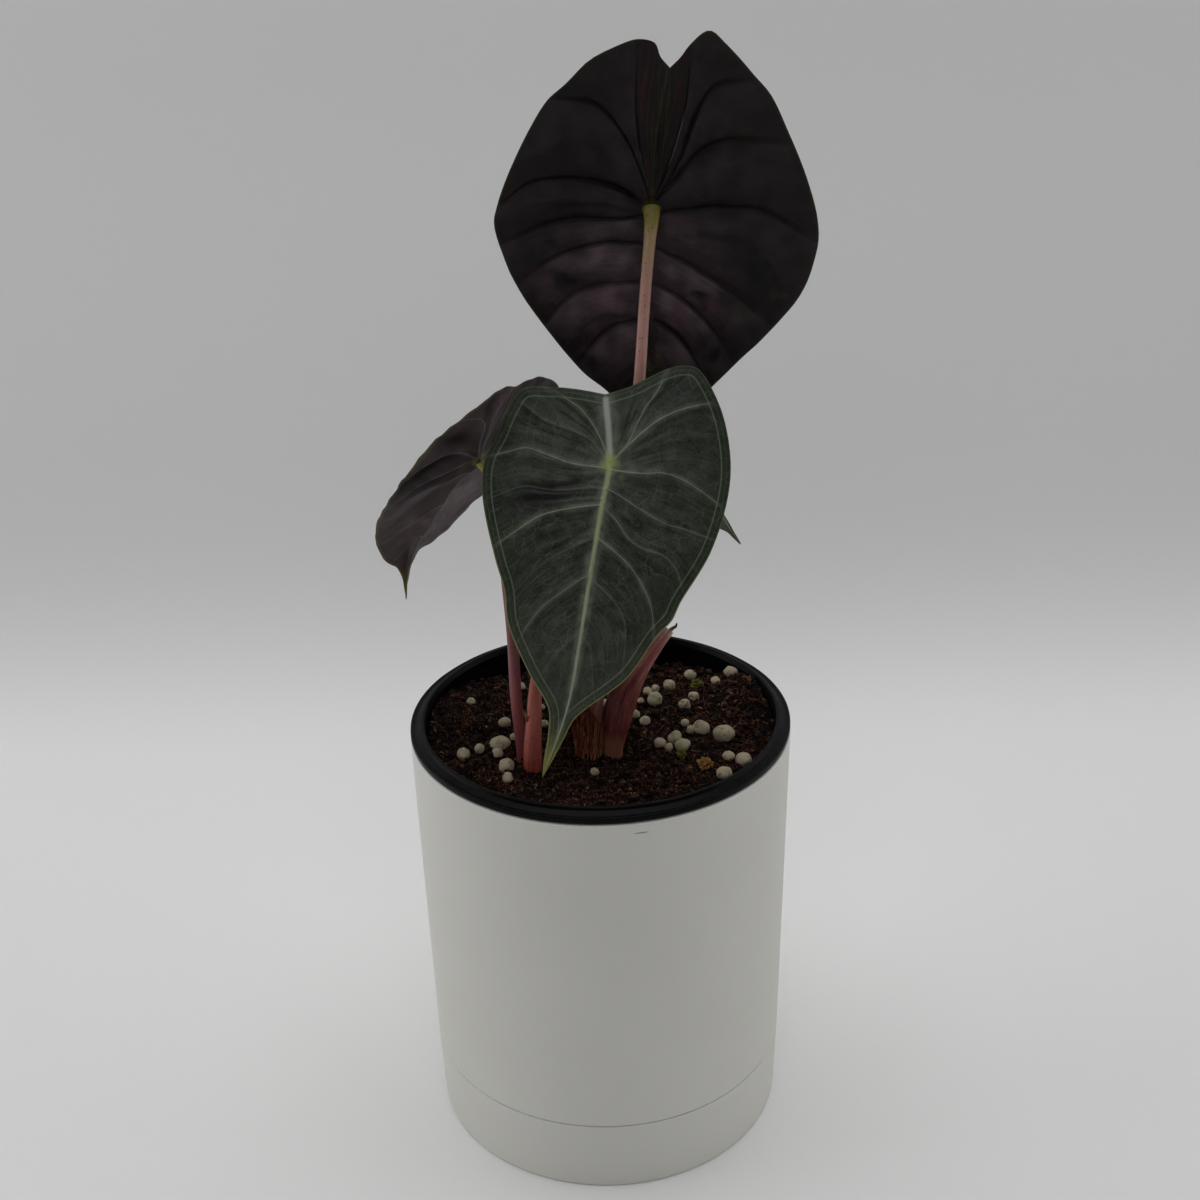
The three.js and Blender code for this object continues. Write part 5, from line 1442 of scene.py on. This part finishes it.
points, faces, attributes, finishes = blade_mesh(tall_blade)
leaf_finishes = [
    upper_cuticle(
        "silvered_leaf_cuticle", dark="#121610", silver="#3F4438", green="#152610", halo_tint="#737A6B",
        vein_tint="#98A08A", margin_tint="#8E8C52",
    ),
    # on the tall leaf the veins are painted near black, as painted shade in the grooves between its panels
    underside_skin(
        "purple_black_underside", dark="#1E1619", light="#403539", red="#46201A", olive="#424A1E",
        vein_tint="#0E090A", join_tint="#5E5E24", painted_sheen=(4, 26, 2.65, 0.46),
    ),
]
tall_leaf = mesh_piece("tall_leaf_sheet", points, faces, leaf_finishes, attributes, finishes)
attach(tall_leaf, "root")
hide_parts("tall_leaf_blade")

# Front leaf: seen from above. It is silvered dark green, with pale veins, a pale midrib that starts in a
# yellow-green star, and a plain green margin.

front_blade = {
    "origin": (4.3, -16, 221.9),
    "tipward": (-0.208, -0.398, -0.894),
    "upward": (0, -0.914, 0.407),
    "arch": 2,
    "bulge": (0.9, 0.9),
    "lean": 1.0,
    "funnel": 0.8,
    "spine": [
        (-4.5, -18.5, -0.5), (0, 0, 0), (0, 11.5, 0), (0.3, 28, -1), (0.8, 48.5, -3), (1, 66.5, -5.5),
        (-0.5, 78.5, -7.5), (-2.5, 88.5, -9.5),
    ],
    "margins": [
        [
            (-4.5, -18.5, -0.5), (-12.5, -18.5, -1), (-20, -17.8, -2), (-27, -16, -3), (-30, -9.5, -3.5),
            (-31.5, -3, -4), (-33.8, 5, -4.5), (-32.5, 15, -4.5), (-26, 31, -4), (-22, 39, -4),
            (-19.5, 47.5, -4), (-11, 60.5, -5), (-4.2, 69, -6), (-3, 76.5, -7), (-2.9, 83, -8.5),
            (-2.5, 88.5, -9.5),
        ],
        [
            (-4.5, -18.5, -0.5), (2, -22, -0.5), (10, -28, -1.5), (14, -30, -2), (17.5, -30.5, -2.5),
            (20, -29.5, -2.5), (27.5, -20, -3.5), (32.5, -7, -4.5), (33.5, 4, -4.5), (31.5, 19, -4.5),
            (26, 33.5, -4), (24.7, 38.5, -4), (21.5, 43.5, -4), (15.5, 56.5, -5), (5.5, 67.5, -5.5),
            (3, 71, -6), (1.5, 76, -7), (-0.5, 82.5, -8), (-2.5, 88.5, -9.5),
        ],
    ],
    "vein_starts": [0, 0, 1.2, 6.5, 11, 20, 30.5, 46],
    "veins": [
        [
            [(-1.5, -3), (-4, -7), (-7, -10.5), (-10.5, -13.5), (-15.5, -15.8), (-21.5, -17.5)],
            [(-3, -3), (-6, -5.5), (-12.5, -7.5), (-19.5, -8.7), (-24, -11), (-28.6, -13)],
            [(-3, 1.2), (-10, 1.5), (-16.5, 0.5), (-23, -0.5), (-28, 1.5), (-33, 4)],
            [(-4, 7.2), (-13.5, 9.5), (-22, 10), (-27.5, 13), (-32.8, 16)],
            [(-3.5, 12), (-9, 13.8), (-16, 17), (-21.5, 22), (-24.5, 25), (-28, 28.5)],
            [(-8, 25.5), (-14.5, 31.5), (-21, 42)],
            [(-2, 32), (-6, 36), (-11, 41.5), (-13.5, 46), (-16.5, 53)],
            [(-4, 52), (-9, 63)],
        ],
        [
            [(1.5, -2.5), (4, -7), (5.5, -12.5), (7, -17.5), (9, -21.5), (11, -28.3)],
            [(3, -4.5), (7, -10), (10.5, -14), (15, -17.5), (21, -20.5), (26, -22.2)],
            [(3.5, 1.2), (10.5, 0.5), (14.5, -0.5), (19.5, 0), (25, 2), (33.5, 6)],
            [(3.5, 7.5), (9.5, 10), (18, 13), (23, 13.5), (32.3, 15)],
            [(5, 15), (8.5, 18.6), (12.8, 20.7), (19, 21.7), (23, 24.5), (27, 31.5)],
            [(3, 21.5), (7.5, 24), (11.5, 27), (15.5, 31.5), (18.5, 36.5), (20.8, 45)],
            [(2.5, 32.5), (7.5, 36), (12, 41.5), (14, 58.5)],
            [(4, 51), (8, 65)],
        ],
    ],
    "vein_widths": [
        [0.27, 0.12, 0.25, 0.12, 0.25, 0.08, 0.2, 0.08],
        [0.36, 0.3, 0.26, 0.2, 0.15, 0.22, 0.12, 0.08],
    ],
    "wrinkle": (0.5, 14, 1.9),
    "puckers": [(0.35, 6), (0.12, 2.4)],
    "edge_wave": (0.35, 8),
    "rib": 1.0,
    "painted_panel_light": 0.6,
    "drip": 16,
    "creases": [
        ([(-1.8, 3.8), (-6.1, 5.9), (-10.8, 8), (-16.2, 9.6), (-21.2, 9.8), (-25.2, 11.8)], -0.9, 1.2, 0.85),
        ([(-6.8, 9.4), (-11.8, 10.8), (-17.7, 12.9), (-23.5, 15.9)], -0.5, 1.6, 0.65),
        ([(-2, 14.5), (-7.7, 18.1), (-13.2, 22.2), (-17.5, 26.2)], -0.5, 0.9, 0.5),
        ([(-2.1, 17.7), (-7.4, 23), (-12.9, 27.2), (-17.4, 30.6)], -0.5, 0.8, 0.45),
        ([(5.8, 2.4), (10.4, 3.4), (13.4, 6)], -0.4, 1.2, 0.4),
        ([(15, 7.6), (19.5, 8), (25.7, 7.4)], -0.4, 1.3, 0.4),
        ([(4.7, 13.3), (9.5, 15.5), (14.6, 15.8)], -0.3, 1.0, 0.35),
        ([(8.1, 41.7), (12.8, 43.4), (15.1, 45.5)], -0.4, 2.0, 0.4),
        ([(1.2, 25.2), (4.6, 29.7), (8.3, 32.8)], -0.3, 0.9, 0.35),
        ([(-23.8, -4.7), (-17.4, -4), (-12.7, -2.4)], 0.2, 2.4, -0.3),
        ([(-11, 11), (-20, 13.5), (-27, 16)], -0.3, 4.5, 0.7),
        ([(12, -26), (19, -21), (25, -13)], -0.2, 5.0, 0.35),
        ([(-10, 24), (-16, 30), (-20, 36)], -0.2, 3.0, 0.25),
        ([(8, 24), (15, 27), (21, 32)], -0.2, 3.5, 0.25),
        ([(21.6, 37.4), (23.2, 39), (24.6, 38.6), (25, 36.4)], 0.5, 0.4, -0.9),
    ],
}
points, faces, attributes, finishes = blade_mesh(front_blade)
front_leaf = mesh_piece("front_leaf_sheet", points, faces, leaf_finishes, attributes, finishes)
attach(front_leaf, "root")
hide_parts("front_leaf_blade")

# Left leaf: a younger leaf, seen from below. Its underside is a paler, greyer purple, folded deeply beside
# the stalk, and its edge and drip tip are yellow-green.

left_blade = {
    "origin": (-32.2, 0, 218.5),
    "tipward": (-0.494, 0.381, -0.781),
    "upward": (-0.714, 0.334, 0.615),
    "arch": 1.3,
    "bulge": (0.1, -1.3),
    "lean": 1.0,
    "funnel": 0.8,
    "spine": [
        (-4.5, -24.5, 4), (0, 0, 0), (-1, 14.5, 2), (-2.5, 32.5, 2), (-3.5, 46, 1.5), (-5, 58.5, -1),
        (-5.5, 69, -6),
    ],
    "margins": [
        [
            (-4.5, -24.5, 4), (-10, -25.5, 3), (-16, -24.5, 1.5), (-22.5, -20.5, -1.5), (-27, -12, -5),
            (-28, 0.5, -7.5), (-26, 15.5, -7), (-21.5, 30, -3), (-16, 47, -1.5), (-10.5, 57, 0.5),
            (-7.5, 64.5, -3), (-5.5, 69, -6),
        ],
        [
            (-4.5, -24.5, 4), (0, -25.5, 5.5), (4, -25, 6), (7.5, -23, 6.5), (13, -17, 8),
            (15.5, -7.5, 9.5), (17, 5.5, 10.5), (16, 19, 10.5), (13.5, 31, 11), (9, 43.5, 9),
            (2.5, 54, 4), (-2.5, 58, 1), (-4.5, 63, -2.5), (-5.5, 69, -6),
        ],
    ],
    "vein_starts": [0, 0, 0, 0.8, 6, 25, 41.5],
    "veins": [
        [
            [(-5, -8), (-10, -15), (-15, -25)],
            [(-11, -4), (-20, -7), (-27.2, -9)],
            [(-10.5, 0), (-19, 1), (-27.6, 2)],
            [(-10, 6), (-19, 11), (-26.5, 16)],
            [(-8, 18), (-15, 26), (-21, 33)],
            [(-9, 33), (-16.5, 46)],
            [(-7, 48), (-11.5, 55.5)],
        ],
        [
            [(3, -8), (3.6, -15.2), (1.6, -20.5), (1, -25.5)],
            [(4, -6.6), (5, -12.2), (5.6, -16), (7.6, -17.9), (10.2, -17.8), (13, -17)],
            [(4.8, -3), (8.2, -5.1), (10.8, -5), (13.2, -2.5), (15.2, 2.8), (16.4, 15)],
            [(3.2, -0.3), (5.1, 2.5), (8.5, 5), (11.2, 8.4), (13.1, 13.6), (13.8, 20.4), (14, 28)],
            [(5.3, 7.7), (8.6, 9.2), (10.5, 12), (11.3, 17.1), (11.8, 26), (12, 36)],
            [(1.7, 31.7), (3.7, 38.4), (7.5, 46)],
            [(-2, 46), (1, 55.5)],
        ],
    ],
    "vein_widths": [[0.05] * 7, [0.22, 0.3, 0.34, 0.34, 0.26, 0.24, 0.2]],
    "wrinkle": (0.15, 18, 4.0),
    "puckers": [(0.15, 8)],
    "edge_wave": (0.8, 5),
    "rib": 0.9,
    "painted_panel_light": 0.0,
    "drip": 13,
    "creases": [
        (
            [(5, -2.6), (7.9, -2.2), (10.6, -0.6), (12.4, 2.8), (13.6, 7.5), (14.4, 13), (14.8, 19)],
            1.3, 2.2, 1.1,
        ),
        ([(6.3, -10), (9, -9.6), (11.5, -8.4), (13, -5.8)], 0.9, 2.8, 1.0),
        ([(5.5, 4.6), (8.6, 7), (10.6, 10.5), (12, 16), (12.6, 22)], 0.3, 1.0, 0.6),
        ([(2.8, 4), (4, 12), (3.4, 22), (2.6, 28)], 0.5, 2.4, 0.45),
        ([(4.4, 17), (6.5, 27), (7.5, 36)], 0.3, 1.5, 0.3),
        ([(3.3, -24.1), (5, -20.9), (5.6, -18)], 0.5, 1.2, 0.6),
        ([(-6, 12), (-7, 23.9), (-9, 38.6)], -0.3, 6.0, -0.25),
        ([(-2, -14), (-1.5, -9), (-0.5, -4.5)], 0.3, 1.5, 0.4),
    ],
}
points, faces, attributes, finishes = blade_mesh(left_blade)
pale_underside = underside_skin(
    "pale_purple_underside", dark="#4A3F41", light="#786E70", red="#5E3C3C", olive="#6C6C42",
    vein_tint="#948A8C", join_tint="#7C7A3C", painted_sheen=(-8, 28, 1.2, 0.85),
)
left_leaf = mesh_piece(
    "left_leaf_sheet", points, faces, [leaf_finishes[0], pale_underside], attributes, finishes
)
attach(left_leaf, "root")
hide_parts("left_leaf_blade")

# Rear leaf: a small, young leaf behind the front one, plain green and hardly silvered yet. Only its tip
# shows from the front, beside the front leaf.

rear_blade = {
    "origin": (28.4, 13.1, 207.3),
    "tipward": (0.48, 0.32, -0.816),
    "upward": (0.865, -0.326, 0.381),
    "arch": 1.6,
    "bulge": (0.6, 0.6),
    "lean": 1.0,
    "funnel": 0.4,
    "spine": [(0, -9.5, -0.5), (0, 0, 0), (0, 11, 0), (0, 20, -0.5), (0, 27, -1), (0, 34, -1)],
    "margins": [
        [
            (0, -9.5, -0.5), (-3.5, -12.5, -1), (-8, -11.5, -1.5), (-10.8, -7, -2), (-11.5, 0, -2.5),
            (-10, 8, -2.5), (-6.5, 15.5, -2), (-3.5, 21.5, -1.5), (-2, 25.5, -1), (-1, 29.5, -1),
            (0, 34, -1),
        ],
        [
            (0, -9.5, -0.5), (3.5, -12.5, -1), (8, -11.5, -1.5), (10.8, -7, -2), (11.5, 0, -2.5),
            (10, 8, -2.5), (6.5, 15.5, -2), (3.5, 21.5, -1.5), (2, 25.5, -1), (1, 29.5, -1), (0, 34, -1),
        ],
    ],
    "vein_starts": [0, 0.5, 4, 11.5],
    "veins": [
        [
            [(-3.5, -5), (-7, -12)],
            [(-5, 0), (-11.5, 0)],
            [(-4.5, 7), (-9.5, 11)],
            [(-3, 14.5), (-5, 18.5)],
        ],
        [
            [(3.5, -5), (7, -12)],
            [(5, 0), (11.5, 0)],
            [(4.5, 7), (9.5, 11)],
            [(3, 14.5), (5, 18.5)],
        ],
    ],
    "vein_widths": [[0.16] * 4, [0.16] * 4],
    "wrinkle": (0.12, 8, 1.6),
    "puckers": [(0.1, 4)],
    "edge_wave": (0.15, 5),
    "rib": 0.6,
    "painted_panel_light": 0.2,
    "drip": 1.6,
    "creases": [],
}
points, faces, attributes, finishes = blade_mesh(rear_blade)
young_finishes = [
    upper_cuticle(
        "young_green_cuticle", dark="#0E1608", silver="#222C1A", green="#121E0A", halo_tint="#2A341E",
        vein_tint="#4A5638", margin_tint="#2C3418", silvering=0.4,
    ),
    underside_skin(
        "young_green_underside", dark="#161C0E", light="#2E3620", red="#3A2818", olive="#2E3A1A",
        vein_tint="#465030", join_tint="#6E7034", painted_sheen=(0, 10, 1.0, 1.0),
    ),
]
rear_leaf = mesh_piece("rear_leaf_sheet", points, faces, young_finishes, attributes, finishes)
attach(rear_leaf, "root")
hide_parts("rear_leaf_blade")

# Studio: one sheet of matt pale grey card, which curves up from the floor behind the plant, and soft
# boxes above and at both sides. The front is the dim side, as in a light tent open towards the camera.
# The card is clear from its outer side, so that the plant is seen from behind as well.

SWEEP_HALF_WIDTH = 1400
SWEEP_FRONT = -1400
SWEEP_BEND = 260
SWEEP_RADIUS = 260
SWEEP_TOP = 1500
SWEEP_STEPS = 24

# Matt card: uncoated paper card, which throws the light back evenly and has no shine.
card, tree, shader = new_material("matt_grey_card")
place = add(tree, "TexCoord").outputs["Object"]
depth = add(tree, "SeparateXYZ", (place,))
# the floor is painted lighter than the wall, and the wall darker towards its foot: painted light and shade
# on the one card
behind = add(
    tree, "MapRange", (depth.outputs[1], 200 * MM, 400 * MM, 0.0, 1.0), interpolation_type="SMOOTHSTEP"
)
rise = add(tree, "MapRange", (depth.outputs[2], 60 * MM, 260 * MM, 0.0, 1.0))
wall = add(tree, "Mix", {0: rise, 6: linear("#CDCDCD"), 7: linear("#DEDEDE")}, data_type="RGBA")
tone = add(tree, "Mix", {0: behind, 6: linear("#F0F0F0"), 7: wall}, data_type="RGBA")
feed(tree, shader, {"Base Color": tone, "Roughness": 0.9})
clear = add(tree, "BsdfTransparent")
outer_side = add(tree, "NewGeometry").outputs["Backfacing"]
open_back = add(tree, "MixShader", (outer_side, shader, clear))
feed(tree, tree.nodes["Material Output"], {"Surface": open_back})

section = [(SWEEP_FRONT, 0.0), (SWEEP_BEND, 0.0)]
for step in range(1, SWEEP_STEPS + 1):
    angle = math.pi / 2 * step / SWEEP_STEPS
    section.append((SWEEP_BEND + SWEEP_RADIUS * math.sin(angle), SWEEP_RADIUS * (1 - math.cos(angle))))
section.append((SWEEP_BEND + SWEEP_RADIUS, SWEEP_TOP))
points = [(side * SWEEP_HALF_WIDTH, y, z) for side in (-1, 1) for y, z in section]
faces = [(k, len(section) + k, len(section) + k + 1, k + 1) for k in range(len(section) - 1)]
sweep = mesh_piece("studio_sweep", points, faces, [card])


def soft_box(name, place, target, width, height, watts):
    """A soft box in metres at a place, turned to face a target."""
    lamp = bpy.data.lights.new(name, "AREA")
    lamp.shape = "RECTANGLE"
    lamp.size = width
    lamp.size_y = height
    lamp.energy = watts
    held = bpy.data.objects.new(name, lamp)
    held.location = place
    held.rotation_euler = (Vector(target) - Vector(place)).to_track_quat("-Z", "Y").to_euler()
    bpy.context.scene.collection.objects.link(held)


soft_box("top_box", (0, 0.1, 1.25), (0, 0, 0), 1.3, 1.3, 8.6)
soft_box("left_box", (-1.1, 0.1, 0.45), (0, 0, 0.1), 1.0, 0.9, 3.9)
soft_box("right_box", (1.1, 0.1, 0.45), (0, 0, 0.1), 1.0, 0.9, 2.9)
soft_box("front_box", (0, -1.0, 0.9), (0, 0, 0.15), 0.8, 0.5, 2.1)

world = bpy.data.worlds.new("room")
world.use_nodes = True
feed(world.node_tree, world.node_tree.nodes["Background"], {"Color": (0.3, 0.3, 0.3, 1), "Strength": 0.03})
bpy.context.scene.world = world
bpy.context.scene.view_settings.view_transform = "Standard"

# Camera: hand-held in front of the plant and looking down at it, turned a little off level, with a
# normal lens.

CAMERA_PLACE = (0, -464.3, 397.5)
CAMERA_YAW, CAMERA_PITCH, CAMERA_ROLL = 0.0018, 0.4496, -0.0255
CAMERA_LENS = 53.02

forward = Vector((
    math.sin(CAMERA_YAW) * math.cos(CAMERA_PITCH),
    math.cos(CAMERA_YAW) * math.cos(CAMERA_PITCH),
    -math.sin(CAMERA_PITCH),
))
level = Vector((math.cos(CAMERA_YAW), -math.sin(CAMERA_YAW), 0))
above = level.cross(forward)
rightward = math.cos(CAMERA_ROLL) * level + math.sin(CAMERA_ROLL) * above
upright = math.cos(CAMERA_ROLL) * above - math.sin(CAMERA_ROLL) * level
camera = bpy.data.objects.new("camera", bpy.data.cameras.new("camera"))
turned_to = Matrix((rightward, upright, -forward)).transposed().to_4x4()
camera.matrix_world = Matrix.Translation(Vector(CAMERA_PLACE) * MM) @ turned_to
camera.data.lens = CAMERA_LENS
camera.data.clip_start = 0.01
bpy.context.scene.collection.objects.link(camera)
bpy.context.scene.camera = camera
